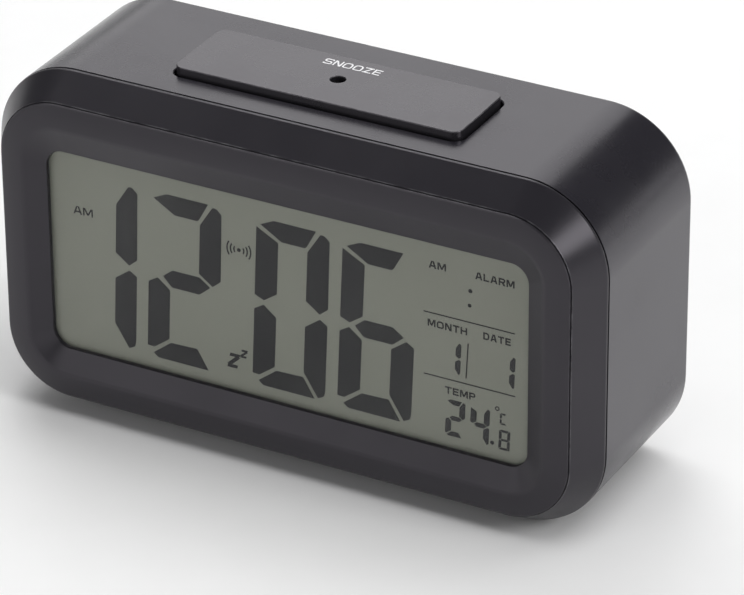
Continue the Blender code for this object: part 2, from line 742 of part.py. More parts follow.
def main_board():
    half_x = CASE_WIDTH / 2 - WALL - SEAT - TONGUE_WALL - 1.0
    half_z = WINDOW_Z + LCD_RIM + 1.6
    board = piece(
        "main_board",
        loft([rounded(half_x, half_z, 8.0, y, WINDOW_MIDDLE, 0.0, 4) for y in (BOARD_FRONT, BOARD_BACK)]),
        BOARD_GREEN,
    )
    holes = [
        rod((x, BOARD_FRONT - 1, z), (0, 1, 0), BOARD_SCREW_SHANK + 2 * SEAT, BOARD_THICK + 2, 16)
        for _, x, z in board_screw_places()
    ]
    cut(board, "main_board_holes", *holes)
    head, height = BOARD_SCREW_HEAD
    for name, x, z in board_screw_places():
        profile = [
            (BOARD_SCREW_SHANK / 2 - 0.4, 0.0),
            (BOARD_SCREW_SHANK / 2, 0.7),
            (BOARD_SCREW_SHANK / 2, BOARD_SCREW_LENGTH),
            (head / 2, BOARD_SCREW_LENGTH),
            (head / 2, BOARD_SCREW_LENGTH + height - 0.5),
            (head / 2 - 0.6, BOARD_SCREW_LENGTH + height),
        ]
        place = (x, BOARD_BACK + SEAT - BOARD_SCREW_LENGTH, z)
        piece("board_screw_" + name, turned(profile, place, (0, 1, 0), 16), STEEL)
    back = BOARD_BACK + SEAT
    blob = [(5.0, 0.0), (5.0, 0.4), (4.2, 1.0), (2.8, 1.5), (1.0, 1.7)]
    piece("controller_chip", turned(blob, (16.0, back, WINDOW_MIDDLE + 4), (0, 1, 0)), EPOXY)
    can = [(1.5, 0.0), (1.5, 7.6), (1.2, 8.0)]
    crystal = turned(can, (2.0, back + 1.5, WINDOW_MIDDLE + 8), (0, 0, -1), 16)
    piece("crystal", crystal, STEEL)
    bead = [(0.4, 0.0), (1.1, 0.4), (1.3, 1.1), (1.1, 1.8), (0.4, 2.2)]
    piece("thermistor", turned(bead, (-50.0, back, WINDOW_MIDDLE - 14), (0, 1, 0), 16), EPOXY)


# Snooze bar and what it works


def tact_switch(name, foot, along):
    """A square push switch's body, standing on its board, with the well that its plunger runs in."""
    middle = Vector(foot)
    direction = Vector(along)
    half = Vector((TACT / 2, TACT / 2, TACT / 2)) - Vector([abs(part) * TACT / 2 for part in direction])
    ends = sorted(((middle - half)[:], (middle + half + direction * TACT_HEIGHT)[:]))
    body = block(*zip(*ends), 0.25)
    switch = piece(name, body, BLACK_SATIN)
    depth = PLUNGER_REACH + max(KEY_TRAVEL, BAR_TRAVEL) + SEAT
    well = rod(middle + direction * (TACT_HEIGHT - depth), along, PLUNGER + 2 * SEAT, depth + 1, 16)
    cut(switch, name + "_well", well)


def plunger(name, foot, along, reach_out):
    """The round plunger of a push switch; foot is the middle of the switch's top face."""
    direction = Vector(along)
    start = Vector(foot) - direction * PLUNGER_REACH
    long = PLUNGER_REACH + reach_out
    radius = PLUNGER / 2
    shape = turned([(radius, 0.0), (radius, long - 0.2), (radius - 0.2, long)], start, along, 16)
    piece(name, shape, DARK_KEY, start)


def snooze_group():
    top = TOP + BAR_PROUD
    skirt = INNER_TOP - SEAT - 0.8
    outer = [
        bar_outline(0.0, skirt),
        bar_outline(0.0, top - 0.5),
        bar_outline(-0.15, top - 0.15),
        bar_outline(-0.5, top),
    ]
    inner = [bar_outline(-BAR_WALL, top - BAR_WALL), bar_outline(-BAR_WALL, skirt)]
    origin = (0.0, BAR_MIDDLE, TOP)
    bar = piece("snooze_bar", loft(inner + outer), BLACK_SATIN, origin)
    lips = [
        block(
            sorted((side * (BAR_LENGTH / 2 - BAR_WALL / 2), side * (BAR_LENGTH / 2 + BAR_LIP))),
            (BAR_MIDDLE - 6.0, BAR_MIDDLE + 6.0),
            (skirt, skirt + 0.8),
        )
        for side in (-1, 1)
    ]
    tact_top = TOP_BOARD_TOP + SEAT + TACT_HEIGHT
    nib = 0.8
    post_end = tact_top + nib + SEAT
    post = rod((SNOOZE_SWITCH_X, BAR_MIDDLE, post_end), (0, 0, 1), 5.0, top - BAR_WALL / 2 - post_end)
    join(bar, "bar_lips", *lips, post)
    cut(bar, "sensor_hole", rod((0.0, SENSOR_Y, top - 3), (0, 0, 1), SENSOR_HOLE, 4.0))
    tact_switch("snooze_switch_body", (SNOOZE_SWITCH_X, BAR_MIDDLE, TOP_BOARD_TOP + SEAT), (0, 0, 1))
    plunger("snooze_switch_plunger", (SNOOZE_SWITCH_X, BAR_MIDDLE, tact_top), (0, 0, 1), nib)
    eye = [(2.4, 0.0), (2.4, 3.4), (1.9, 4.6), (0.9, 5.2)]
    piece("light_sensor", turned(eye, (0.0, SENSOR_Y, TOP_BOARD_TOP + SEAT), (0, 0, 1), 20), AMBER)
    reach = hanger_places()[1] + 3.0
    board = piece(
        "top_board",
        block((-reach, reach), (BAR_MIDDLE - 6.5, BAR_MIDDLE + 6.5), (TOP_BOARD_UNDER, TOP_BOARD_TOP), 0.2),
        BOARD_GREEN,
    )
    holes = [
        rod((x, BAR_MIDDLE, TOP_BOARD_UNDER - 1), (0, 0, 1), PIN_DIAMETER + 2 * SEAT, BOARD_THICK + 2, 16)
        for x in hanger_places()
    ]
    cut(board, "top_board_holes", *holes)


# Keys and slide switch


def key_places():
    for count, name in enumerate(KEY_NAMES):
        yield name, KEY_FIRST_X + KEY_PITCH * count


def keys():
    for name, x in key_places():
        origin = (x, KEY_FACE, KEY_Z)
        long = KEY_FACE - FLANGE_FRONT
        profile = [
            (KEY_FLANGE / 2, 0.0),
            (KEY_FLANGE / 2, FLANGE_BACK - FLANGE_FRONT),
            (KEY_DIAMETER / 2, FLANGE_BACK - FLANGE_FRONT),
            (KEY_DIAMETER / 2, long - 0.4),
            (KEY_DIAMETER / 2 - 0.4, long),
        ]
        piece(name + "_button", turned(profile, (x, FLANGE_FRONT, KEY_Z), (0, 1, 0)), DARK_KEY, origin)
        tact_switch(f"{name}_switch_body", (x, KEY_BOARD_BACK + SEAT, KEY_Z), (0, 1, 0))
        plunger(f"{name}_switch_plunger", (x, TACT_TOP, KEY_Z), (0, 1, 0), PLUNGER_TOP - TACT_TOP)
    board = piece(
        "key_board",
        block(
            (KEY_FIRST_X - 6.5, SLIDE_X + 7.5),
            (KEY_BOARD_FRONT, KEY_BOARD_BACK),
            (KEY_Z - 6.5, KEY_Z + 6.5),
            0.2,
        ),
        BOARD_GREEN,
    )
    holes = [
        rod((x, KEY_BOARD_FRONT - 1, KEY_Z), (0, 1, 0), PIN_DIAMETER + 2 * SEAT, BOARD_THICK + 2, 16)
        for x in key_stud_places()
    ]
    cut(board, "key_board_holes", *holes)


def slide_switch():
    wide, tall = SLIDE_CASE
    case_top = TACT_TOP + 0.5
    case = piece(
        "slide_switch_body",
        block(
            (SLIDE_X - wide / 2, SLIDE_X + wide / 2),
            (KEY_BOARD_BACK + SEAT, case_top),
            (KEY_Z - tall / 2, KEY_Z + tall / 2),
            0.2,
        ),
        STEEL,
    )
    knob_wide, knob_tall = SLIDE_KNOB
    reach = SLIDE_TRAVEL / 2 + knob_wide / 2 + SEAT
    channel = block(
        (SLIDE_X - reach, SLIDE_X + reach),
        (case_top - 1.5, case_top + 1),
        (KEY_Z - knob_tall / 2 - SEAT, KEY_Z + knob_tall / 2 + SEAT),
    )
    cut(case, "slide_channel", channel)
    x = SLIDE_X - SLIDE_TRAVEL / 2
    knob = block(
        (x - knob_wide / 2, x + knob_wide / 2),
        (case_top - 1.5 + SEAT, KEY_FACE - 0.1),
        (KEY_Z - knob_tall / 2, KEY_Z + knob_tall / 2),
        0.2,
    )
    piece("light_switch_knob", knob, DARK_KEY, (x, KEY_FACE, KEY_Z))


# Batteries


def cell_side(count):
    """-1 where a cell's positive end points left, 1 where it points right."""
    return -1 if count % 2 == 0 else 1


def cells():
    body_end = BAY_X - SEAT - CONTACT_THICK - SEAT
    for count in range(CELL_COUNT):
        side = cell_side(count)
        z = CELL_LOW + CELL_PITCH * count
        radius = CELL_DIAMETER / 2
        profile = [
            (1.9, 0.0),
            (1.9, CELL_NUB),
            (radius - 0.4, CELL_NUB),
            (radius, CELL_NUB + 0.4),
            (radius, CELL_NUB + CELL_BODY - 0.4),
            (radius - 0.4, CELL_NUB + CELL_BODY),
        ]
        foot = (side * (body_end - 0.2), CELL_Y, z)
        piece(f"battery_cell_{count + 1}", turned(profile, foot, (-side, 0, 0)), CELL_JACKET)


def contact(name, side, lowest, highest):
    """A plate at one end of the bay for one cell or two, with a spring at each negative end."""
    outer = BAY_X - SEAT
    faces = sorted((side * outer, side * (outer - CONTACT_THICK)))
    half = CELL_DIAMETER / 2 - CONTACT_INSET
    low = CELL_LOW + CELL_PITCH * lowest - half
    high = CELL_LOW + CELL_PITCH * highest + half
    plate = piece(name, block(faces, (CELL_Y - half, CELL_Y + half), (low, high)), STEEL)
    for count in range(lowest, highest + 1):
        if cell_side(count) == side:
            continue
        foot = (side * (outer - CONTACT_THICK / 2), CELL_Y, CELL_LOW + CELL_PITCH * count)
        spring = coil(foot, (-side, 0, 0), 3.4, 2.2, SPRING_LENGTH - 0.3, 0.6)
        join(plate, f"{name}_spring_{count + 1}", spring)


def battery_contacts():
    contact("contact_positive", -1, 0, 0)
    contact("contact_bridge_right", 1, 0, 1)
    contact("contact_bridge_left", -1, 1, 2)
    contact("contact_negative", 1, 2, 2)


def battery_door():
    origin = (0.0, BACK, DOOR_LOW)
    panel = block((-DOOR_X, DOOR_X), (DOOR_FRONT, BACK), (DOOR_LOW, DOOR_HIGH), 0.25)
    door = piece("battery_door", panel, BLACK_SATIN, origin)
    tab_back = INNER_BACK - SEAT
    necks = []
    tabs = []
    for x in (-HOOK_X, HOOK_X):
        width = (x - HOOK_WIDTH / 2, x + HOOK_WIDTH / 2)
        depth = (tab_back - HOOK_THICK, DOOR_FRONT + 0.6)
        necks.append(block(width, depth, (DOOR_LOW + 0.3, DOOR_LOW + 1.2)))
        tabs.append(
            block(
                (width[0] + 0.05, width[1] - 0.05),
                (tab_back - HOOK_THICK + 0.05, tab_back),
                (DOOR_LOW - SEAT - HOOK_REACH, DOOR_LOW + 0.8),
            )
        )
    join(door, "door_necks", *necks)
    join(door, "door_tabs", *tabs)
    slit_z = (DOOR_HIGH - LATCH_LENGTH, DOOR_HIGH + 1)
    slits = [
        block((x - SLIT / 2, x + SLIT / 2), (DOOR_FRONT - 1, BACK + 1), slit_z)
        for x in (-LATCH_WIDTH / 2, LATCH_WIDTH / 2)
    ]
    grips = [
        block((-LATCH_WIDTH / 2 + 2, LATCH_WIDTH / 2 - 2), (BACK - 0.4, BACK + 1), (z - 0.35, z + 0.35))
        for z in (DOOR_HIGH - 2.0, DOOR_HIGH - 3.6, DOOR_HIGH - 5.2)
    ]
    cut(door, "latch_slits", *slits, *grips)


# Buzzer, cables


def buzzer():
    outer = BUZZER_DIAMETER / 2
    profile = [(outer - 0.3, 0.0), (outer, 0.3), (outer, BUZZER_HEIGHT)]
    foot = (BUZZER_X, INNER_BACK - SEAT - BUZZER_HEIGHT, BUZZER_Z)
    body = piece("buzzer", turned(profile, foot, (0, 1, 0), 32), BLACK_SATIN)
    cut(body, "buzzer_port", rod((BUZZER_X, INNER_BACK - 1.6, BUZZER_Z), (0, 1, 0), 3.0, 3.0, 16))


def cables():
    near = BOARD_BACK + SEAT
    far = KEY_BOARD_FRONT - SEAT
    low = KEY_Z - 4.0
    x = 8.0
    sag = ((near + far) / 2, low - 2.5)
    key_path = [(x, far, low), (x, far - 3, low), (x, *sag), (x, near + 3, low), (x, near, low)]
    piece("key_ribbon", ribbon(key_path, 10.0, 0.6), CABLE_GREY)
    under = TOP_BOARD_UNDER - SEAT
    edge = BAR_MIDDLE - 5.0
    drop = under - 7.0
    x = -24.0
    top_path = [(x, edge, under), (x, edge - 0.4, under - 3), (x, near + 2.5, drop), (x, near, drop - 0.4)]
    piece("sensor_ribbon", ribbon(top_path, 5.0, 0.6), CABLE_GREY)
    tip = BAY_X - SEAT + 0.3
    exit_x = BAY_X + BAY_WALL + 3.0
    back_y = BAY_BACK - BAY_FLOOR
    ends = (("positive", -1, 0, RED_LEAD), ("negative", 1, CELL_COUNT - 1, BLACK_LEAD))
    for name, side, count, finish in ends:
        z = CELL_LOW + CELL_PITCH * count
        lead(
            "battery_lead_" + name,
            [
                (side * tip, CELL_Y, z),
                (side * (exit_x - 1.5), CELL_Y, z),
                (side * exit_x, CELL_Y - 3.5, z + 1.0),
                (side * exit_x, back_y - 4.0, z + 3.0),
                (side * (exit_x - 3.0), near + 3.0, z + 4.0),
                (side * (exit_x - 3.0), near + LEAD_DIAMETER / 2, z + 4.0),
            ],
            finish,
        )


clear_scene()
rear_casing()
front_bezel()
feet()
case_screws()
display()
main_board()
snooze_group()
keys()
slide_switch()
cells()
battery_contacts()
battery_door()
buzzer()
cables()
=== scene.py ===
"""Looks of a battery desk alarm clock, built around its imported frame. Lengths are in metres."""

import json
import math

import bmesh
import bpy
from mathutils import Matrix, Quaternion, Vector


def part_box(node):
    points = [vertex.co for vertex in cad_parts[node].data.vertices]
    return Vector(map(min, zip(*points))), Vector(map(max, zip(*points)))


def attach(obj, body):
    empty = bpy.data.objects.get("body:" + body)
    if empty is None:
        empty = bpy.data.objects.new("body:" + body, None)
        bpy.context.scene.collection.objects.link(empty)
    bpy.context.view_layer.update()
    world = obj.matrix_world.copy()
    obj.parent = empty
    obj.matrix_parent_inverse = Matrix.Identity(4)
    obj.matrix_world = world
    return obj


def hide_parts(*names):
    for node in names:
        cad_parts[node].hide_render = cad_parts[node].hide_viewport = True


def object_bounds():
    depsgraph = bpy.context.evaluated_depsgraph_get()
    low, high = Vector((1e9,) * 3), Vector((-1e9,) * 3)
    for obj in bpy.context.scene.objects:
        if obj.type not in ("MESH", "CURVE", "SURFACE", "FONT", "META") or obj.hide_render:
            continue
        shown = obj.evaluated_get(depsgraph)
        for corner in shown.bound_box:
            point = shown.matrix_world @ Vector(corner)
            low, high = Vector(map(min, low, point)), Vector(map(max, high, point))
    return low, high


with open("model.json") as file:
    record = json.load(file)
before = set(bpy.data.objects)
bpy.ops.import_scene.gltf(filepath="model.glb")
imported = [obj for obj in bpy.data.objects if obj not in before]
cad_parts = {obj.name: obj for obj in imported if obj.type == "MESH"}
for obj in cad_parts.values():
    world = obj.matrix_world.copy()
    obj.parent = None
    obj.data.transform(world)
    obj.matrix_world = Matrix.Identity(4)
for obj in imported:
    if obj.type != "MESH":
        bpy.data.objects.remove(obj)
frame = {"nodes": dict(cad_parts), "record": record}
CAD_LOW, CAD_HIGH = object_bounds()
MM = 0.001
SEAT = 0.3 * MM  # left where one piece rests on another
CORNERS = ("lower_left", "lower_right", "upper_left", "upper_right")
FEET = ("front_left", "front_right", "rear_left", "rear_right")
KEYS = ("mode", "set", "up", "down", "unit")

# Places read from the frame
CASE_LOW, CASE_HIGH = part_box("rear_casing")
LENS_LOW, LENS_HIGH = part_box("display_lens")
LCD_LOW, LCD_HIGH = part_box("lcd_panel")
BAR_LOW, BAR_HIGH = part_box("snooze_bar")
DOOR_LOW, DOOR_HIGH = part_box("battery_door")

# Casing and bezel
SEAM = CASE_LOW.y
BACK = CASE_HIGH.y
FRONT = CAD_LOW.y
UNDER = CASE_LOW.z
TOP = CASE_HIGH.z
HALF_X = CASE_HIGH.x
HALF_Z = (TOP - UNDER) / 2
MIDDLE = (TOP + UNDER) / 2
CORNER = 18.6 * MM
CORNER_STEPS = 22
WALL = 2.2 * MM
INNER_BACK = BACK - WALL
INNER_TOP = TOP - WALL
BACK_ROUND = 1.4 * MM
SEAM_GAP = 0.42 * MM
SEAM_INSET = 0.06 * MM
SEAM_BEAD = 0.45 * MM  # the narrow step where the bezel meets the seam
RIDGE_INSET = 4.55 * MM
WINDOW_DEPTH = 2.35 * MM
LIP = 0.95 * MM
HAIR = 0.02 * MM  # keeps two rings of one rim out of one plane, so that they bridge the right way round
TONGUE = 3.1 * MM
TONGUE_WALL = 1.4 * MM
RIB = 1.3 * MM
POCKET_REACH = 3.2 * MM
POCKET_BACK = LCD_HIGH.y + 0.2 * MM
LENS_GAP = 0.25 * MM
WINDOW_X = LENS_HIGH.x + LENS_GAP
WINDOW_Z = (LENS_HIGH.z - LENS_LOW.z) / 2 + LENS_GAP
WINDOW_MIDDLE = (LENS_HIGH.z + LENS_LOW.z) / 2
WINDOW_RADIUS = 4.0 * MM

# Snooze bar
BAR_MIDDLE = (BAR_LOW.y + BAR_HIGH.y) / 2
BAR_HALF_Y = (BAR_HIGH.y - BAR_LOW.y) / 2
BAR_HALF_X = BAR_HIGH.x - 1.2 * MM
BAR_RADIUS = 2.1 * MM
BAR_WALL = 1.6 * MM
SLOT_GAP = 0.55 * MM
INK = 0.03 * MM  # how far a printed word stands proud

# Rear casing
KEY_RECESS = 1.0 * MM
KEY_HOLE = 7.0 * MM
RECESS_X = 54 * MM
RECESS_Z = 6 * MM
RECESS_RADIUS = 4 * MM
GRILLE_HOLE = 1.8 * MM
GRILLE_RADIUS = 4.4 * MM
COLLAR_BORE = 20.6 * MM
COLLAR_OUTER = 23.2 * MM
COLLAR_DEPTH = 4.3 * MM
FOOT_HOLE = 9.6 * MM
FOOT_SINK = 0.8 * MM
POST = 7.0 * MM
POST_START = 1.0 * MM  # depth at which the casing's screw posts begin
WELL_RADIUS = 2.8 * MM
SCREW_HEAD = 1.9 * MM
CASE_PILOT = 2.8 * MM
BOARD_PILOT = 2.2 * MM
SWITCH_TRAVEL = 2.0 * MM
BAY_WALL = 2.5 * MM
OVERCUT = 0.01 * MM  # how far a hollow reaches past the wall that it opens through
DOOR_FOOT = DOOR_LOW.z + 1.3 * MM  # lower edge of the door's plate, above its hooks
HOOKS_X = (-16 * MM, 16 * MM)

# Camera
CAMERA_AIM = Vector((8.902, -0.126, 32.744)) * MM
CAMERA_AZIMUTH = math.radians(28.582)
CAMERA_ELEVATION = math.radians(28.945)
CAMERA_ROLL = math.radians(-0.455)
CAMERA_DISTANCE = 0.983918
CAMERA_LENS = 232.76


# Mesh helpers


def held(name, bm):
    """Puts a bmesh into the scene as an object."""
    mesh = bpy.data.meshes.new(name)
    bm.to_mesh(mesh)
    bm.free()
    made = bpy.data.objects.new(name, mesh)
    bpy.context.scene.collection.objects.link(made)
    return made


def finished(name, bm, body, finish, replaced=(), weighted=True):
    """Turns a bmesh into a piece that rides on a body, stands for CAD nodes and has a finish."""
    piece = held(name, bm)
    piece.data.shade_smooth()
    piece.data.set_sharp_from_angle(angle=math.radians(32.0))
    if weighted:
        normals = piece.modifiers.new("even_shading", "WEIGHTED_NORMAL")
        normals.keep_sharp = True
        normals.weight = 80
    piece.data.materials.append(finish)
    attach(piece, body)
    if replaced:
        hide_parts(*replaced)


def bevelled(bm, geom, affect, width, segments):
    bmesh.ops.bevel(
        bm,
        geom=geom,
        affect=affect,
        offset=width,
        offset_type="OFFSET",
        segments=segments,
        profile=0.5,
        material=-1,
        clamp_overlap=affect == "EDGES",
    )


def rounded_ring(bm, half_x, half_z, radius, y, middle=MIDDLE, steps=CORNER_STEPS):
    """The edges of a rounded rectangle in the XZ plane at depth y."""
    known = set(bm.edges)
    upright = Matrix.Translation((0.0, y, middle)) @ Matrix.Rotation(math.pi / 2, 4, "X")
    sized = upright @ Matrix.Diagonal((half_x, half_z, 1.0, 1.0))
    corners = bmesh.ops.create_grid(bm, x_segments=1, y_segments=1, size=1.0, matrix=sized)["verts"]
    bevelled(bm, corners, "VERTICES", radius, steps)
    ring = [edge for edge in bm.edges if edge not in known]
    bmesh.ops.delete(bm, geom=list({face for edge in ring for face in edge.link_faces}), context="FACES_ONLY")
    return ring


def case_ring(bm, inset, y):
    """The casing's outline, drawn in by an inset."""
    return rounded_ring(bm, HALF_X - inset, HALF_Z - inset, CORNER - inset, y)


def window_ring(bm, grow, y, radius):
    """The window's outline, let out by a margin."""
    return rounded_ring(bm, WINDOW_X + grow, WINDOW_Z + grow, radius, y, WINDOW_MIDDLE)


def bridged(bm, rings, closed=False):
    """Joins neighbouring rings. A closed row also joins its last to its first, an open one is capped."""
    for near, far in zip(rings, rings[1:]):
        bmesh.ops.bridge_loops(bm, edges=near + far)
    if closed:
        bmesh.ops.bridge_loops(bm, edges=rings[-1] + rings[0])
    else:
        for ring in (rings[0], rings[-1]):
            bmesh.ops.edgeloop_fill(bm, edges=ring)
    bmesh.ops.recalc_face_normals(bm, faces=bm.faces)


def soften(bm, ring, width, segments):
    """Rounds the edges of one ring."""
    bevelled(bm, [edge for edge in ring if edge.is_valid], "EDGES", width, segments)


def block(x, y, z, edge=0.0, segments=2):
    """A box between limits on each axis, with its edges rounded if asked."""
    bm = bmesh.new()
    middle = Vector([(low + high) / 2 for low, high in (x, y, z)])
    size = [high - low for low, high in (x, y, z)]
    bmesh.ops.create_cube(bm, size=1.0, matrix=Matrix.Translation(middle) @ Matrix.Diagonal((*size, 1.0)))
    if edge:
        soften(bm, list(bm.edges), edge, segments)
    return bm


def turned(profile, foot, along, steps=48):
    """Spins an open profile of (radius, height) points that starts and ends on the axis."""
    bm = bmesh.new()
    verts = [bm.verts.new((radius, 0.0, height)) for radius, height in profile]
    edges = [bm.edges.new(pair) for pair in zip(verts, verts[1:])]
    bmesh.ops.spin(
        bm, geom=verts + edges, cent=(0, 0, 0), axis=(0, 0, 1), angle=2 * math.pi, steps=steps, use_merge=True
    )
    bmesh.ops.remove_doubles(bm, verts=bm.verts, dist=1e-7)
    bmesh.ops.recalc_face_normals(bm, faces=bm.faces)
    place = Matrix.Translation(foot) @ Vector(along).to_track_quat("Z", "Y").to_matrix().to_4x4()
    bmesh.ops.transform(bm, matrix=place, verts=bm.verts)
    return bm


def rod(foot, along, diameter, length, steps=48):
    """A plain cylinder that starts at its foot."""
    radius = diameter / 2
    return turned([(0.0, 0.0), (radius, 0.0), (radius, length), (0.0, length)], foot, along, steps)


def arc(centre, radius, start, end, steps):
    """Points on an arc, angles in degrees."""
    for step in range(steps + 1):
        angle = math.radians(start + (end - start) * step / steps)
        yield centre[0] + radius * math.cos(angle), centre[1] + radius * math.sin(angle)


def merged(*shapes):
    """Lays shapes into one bmesh without joining them."""
    whole = bmesh.new()
    for shape in shapes:
        mesh = bpy.data.meshes.new("merged")
        shape.to_mesh(mesh)
        shape.free()
        whole.from_mesh(mesh)
        bpy.data.meshes.remove(mesh)
    return whole


def middle_of(node):
    low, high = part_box(node)
    return [(near + far) / 2 for near, far in zip(low, high)]


def carved(base, *steps):
    """Applies a row of ("UNION" or "DIFFERENCE", shape) steps to a bmesh and gives the result back."""
    body = held("carved", base)
    for operation, shape in steps:
        tool = held("tool", shape)
        modifier = body.modifiers.new(operation, "BOOLEAN")
        modifier.operation = operation
        modifier.solver = "EXACT"
        modifier.object = tool
        bpy.context.view_layer.update()
        graph = bpy.context.evaluated_depsgraph_get()
        result = bpy.data.meshes.new_from_object(body.evaluated_get(graph))
        body.modifiers.clear()
        body.data = result
        bpy.data.objects.remove(tool)
    bm = bmesh.new()
    bm.from_mesh(body.data)
    bpy.data.objects.remove(body)
    return bm


# Material helpers


class Finish:
    """A node material with one Principled shader."""

    def __init__(self, name, roughness, metallic=0.0, ior=1.5):
        self.material = bpy.data.materials.new(name)
        self.material.use_nodes = True
        self.tree = self.material.node_tree
        self.shader = self.tree.nodes["Principled BSDF"]
        self.set(roughness=roughness, metallic=metallic, ior=ior)
        self.place = self.node("ShaderNodeTexCoord").outputs["Object"]

    def node(self, kind, inputs=None, **settings):
        made = self.tree.nodes.new(kind)
        for key, value in settings.items():
            setattr(made, key, value)
        for key, value in (inputs or {}).items():
            self.feed(made.inputs[key], value)
        return made

    def feed(self, socket, value):
        if isinstance(value, bpy.types.NodeSocket):
            self.tree.links.new(value, socket)
        else:
            socket.default_value = value

    def stretched(self, scale, turn=(0.0, 0.0, 0.0)):
        inputs = {"Vector": self.place, "Scale": scale, "Rotation": turn}
        return self.node("ShaderNodeMapping", inputs).outputs[0]

    def noise(self, scale, detail=3.0, rough=0.5, vector=None):
        """A noise value; scale is in waves per metre."""
        inputs = {"Vector": vector or self.place, "Scale": scale, "Detail": detail, "Roughness": rough}
        return self.node("ShaderNodeTexNoise", inputs).outputs["Fac"]

    def ranged(self, value, low, high, to_low=0.0, to_high=1.0):
        inputs = {"Value": value, "From Min": low, "From Max": high, "To Min": to_low, "To Max": to_high}
        return self.node("ShaderNodeMapRange", inputs).outputs[0]

    def math(self, operation, first, second=0.0):
        return self.node("ShaderNodeMath", {0: first, 1: second}, operation=operation).outputs[0]

    def blended(self, amount, first, second):
        made = self.node("ShaderNodeMix", data_type="RGBA")
        self.feed(made.inputs[0], amount)
        self.feed(made.inputs[6], first)
        self.feed(made.inputs[7], second)
        return made.outputs[2]

    def edges(self, radius):
        """1 on edges, 0 on flats: where edge wear and a painted edge highlight go."""
        rounded = self.node("ShaderNodeBevel", {"Radius": radius}, samples=4).outputs[0]
        true = self.node("ShaderNodeNewGeometry").outputs["Normal"]
        product = self.node("ShaderNodeVectorMath", {0: rounded, 1: true}, operation="DOT_PRODUCT")
        return self.ranged(self.math("SUBTRACT", 1.0, product.outputs["Value"]), 0.0, 0.25)

    def bumped(self, height, strength, distance, under=None):
        inputs = {"Height": height, "Strength": strength, "Distance": distance}
        if under is not None:
            inputs["Normal"] = under
        return self.node("ShaderNodeBump", inputs).outputs[0]

    def set(self, **sockets):
        """Feeds the shader's sockets, each named in small letters, and gives the material."""
        named = {socket.name.lower().replace(" ", "_"): socket for socket in self.shader.inputs}
        for name, value in sockets.items():
            self.feed(named[name], value)
        return self.material


def rgb(red, green, blue):
    """A colour written as screen values from 0 to 255."""
    return (*[channel ** 2.2 for channel in (red / 255, green / 255, blue / 255)], 1.0)


def paled(colour, factor):
    """A colour made lighter or darker by a factor."""
    return [min(channel * factor, 1.0) for channel in colour[:3]] + [1.0]


def moulded(
    name, colour, worn_edge_and_highlight, roughness, grain=0.35, grain_scale=5200.0, ior=1.5, shine=0.35, reach=0.35 * MM
):
    """Injection-moulded plastic: spark texture, faint flow marks, handling smudges and polished edges, whose
    paler colour is partly wear and partly a painted highlight.
    """
    finish = Finish(name, roughness, ior=ior)
    flow = finish.noise(55.0, 4.0, 0.55, finish.stretched((1.0, 0.5, 1.6)))
    smudge = finish.ranged(finish.noise(38.0, 5.0, 0.6), 0.42, 0.72)
    fine = finish.noise(grain_scale, 2.0, 0.6)
    edge = finish.edges(reach)
    wear_and_highlight = finish.math("MULTIPLY", edge, finish.ranged(finish.noise(420.0, 3.0), 0.35, 0.7))
    tint = finish.blended(finish.ranged(flow, 0.3, 0.7), colour, paled(colour, 1.16))
    # Painted highlight: rounded edges are lightened towards the edge colour by the shine amount; this is
    # partly edge wear and partly painted light.
    shade = finish.blended(finish.math("MULTIPLY", wear_and_highlight, shine), tint, worn_edge_and_highlight)
    hair = finish.noise(300.0, 2.0, 0.5, finish.stretched((1.0, 14.0, 9.0), (0.3, 0.2, 0.5)))
    rough = finish.ranged(smudge, 0.0, 1.0, roughness - 0.05, roughness + 0.05)
    rough = finish.math("SUBTRACT", rough, finish.math("MULTIPLY", edge, 0.06))
    rough = finish.math("ADD", rough, finish.ranged(hair, 0.62, 0.75, 0.0, 0.04))
    bump = finish.bumped(flow, 0.12, 0.05 * MM, finish.bumped(fine, grain, 0.02 * MM))
    return finish.set(base_color=shade, roughness=rough, specular_tint=(0.97, 0.92, 1.0, 1.0), normal=bump)


def foot_rubber():
    """Matt black rubber with a little dust."""
    finish = Finish("foot_black", 0.85)
    grain = finish.noise(2600.0, 4.0, 0.7)
    dust = finish.ranged(finish.noise(160.0, 4.0), 0.5, 0.75, 0.0, 0.3)
    shade = finish.blended(dust, rgb(32, 32, 33), rgb(78, 76, 74))
    rough = finish.ranged(grain, 0.3, 0.7, 0.75, 0.95)
    return finish.set(base_color=shade, roughness=rough, normal=finish.bumped(grain, 0.5, 0.03 * MM))


def nickel_steel():
    """Plated sheet or wire with drawing marks along one direction and slightly dulled patches."""
    finish = Finish("nickel_steel", 0.28, 1.0)
    marks = finish.noise(400.0, 3.0, 0.6, finish.stretched((1.0, 1.0, 30.0)))
    patch = finish.ranged(finish.noise(180.0, 4.0), 0.4, 0.75, 0.0, 0.5)
    bright = rgb(196, 196, 198)
    shade = finish.blended(patch, bright, paled(bright, 0.72))
    rough = finish.ranged(marks, 0.3, 0.7, 0.22, 0.4)
    return finish.set(base_color=shade, roughness=rough, normal=finish.bumped(marks, 0.2, 0.01 * MM))


def board_laminate():
    """Green solder mask over copper tracks, with a faint glass weave."""
    finish = Finish("board_laminate", 0.4)
    upright = finish.stretched((1.0, 1.0, 1.0), (math.pi / 2, 0.0, 0.0))
    layout = {"Vector": upright, "Scale": 260.0, "Mortar Size": 0.09, "Mortar Smooth": 0.1}
    tracks = finish.node("ShaderNodeTexBrick", layout).outputs["Fac"]
    blocks = finish.ranged(finish.noise(130.0, 1.0), 0.48, 0.52)
    copper = finish.math("MULTIPLY", tracks, blocks)
    weave = finish.noise(3500.0, 1.0)
    mask = finish.blended(finish.ranged(weave, 0.3, 0.7), rgb(16, 84, 44), rgb(22, 98, 52))
    shade = finish.blended(copper, mask, rgb(52, 138, 70))
    rough = finish.ranged(weave, 0.2, 0.8, 0.32, 0.48)
    return finish.set(base_color=shade, roughness=rough, normal=finish.bumped(copper, 0.4, 0.04 * MM))


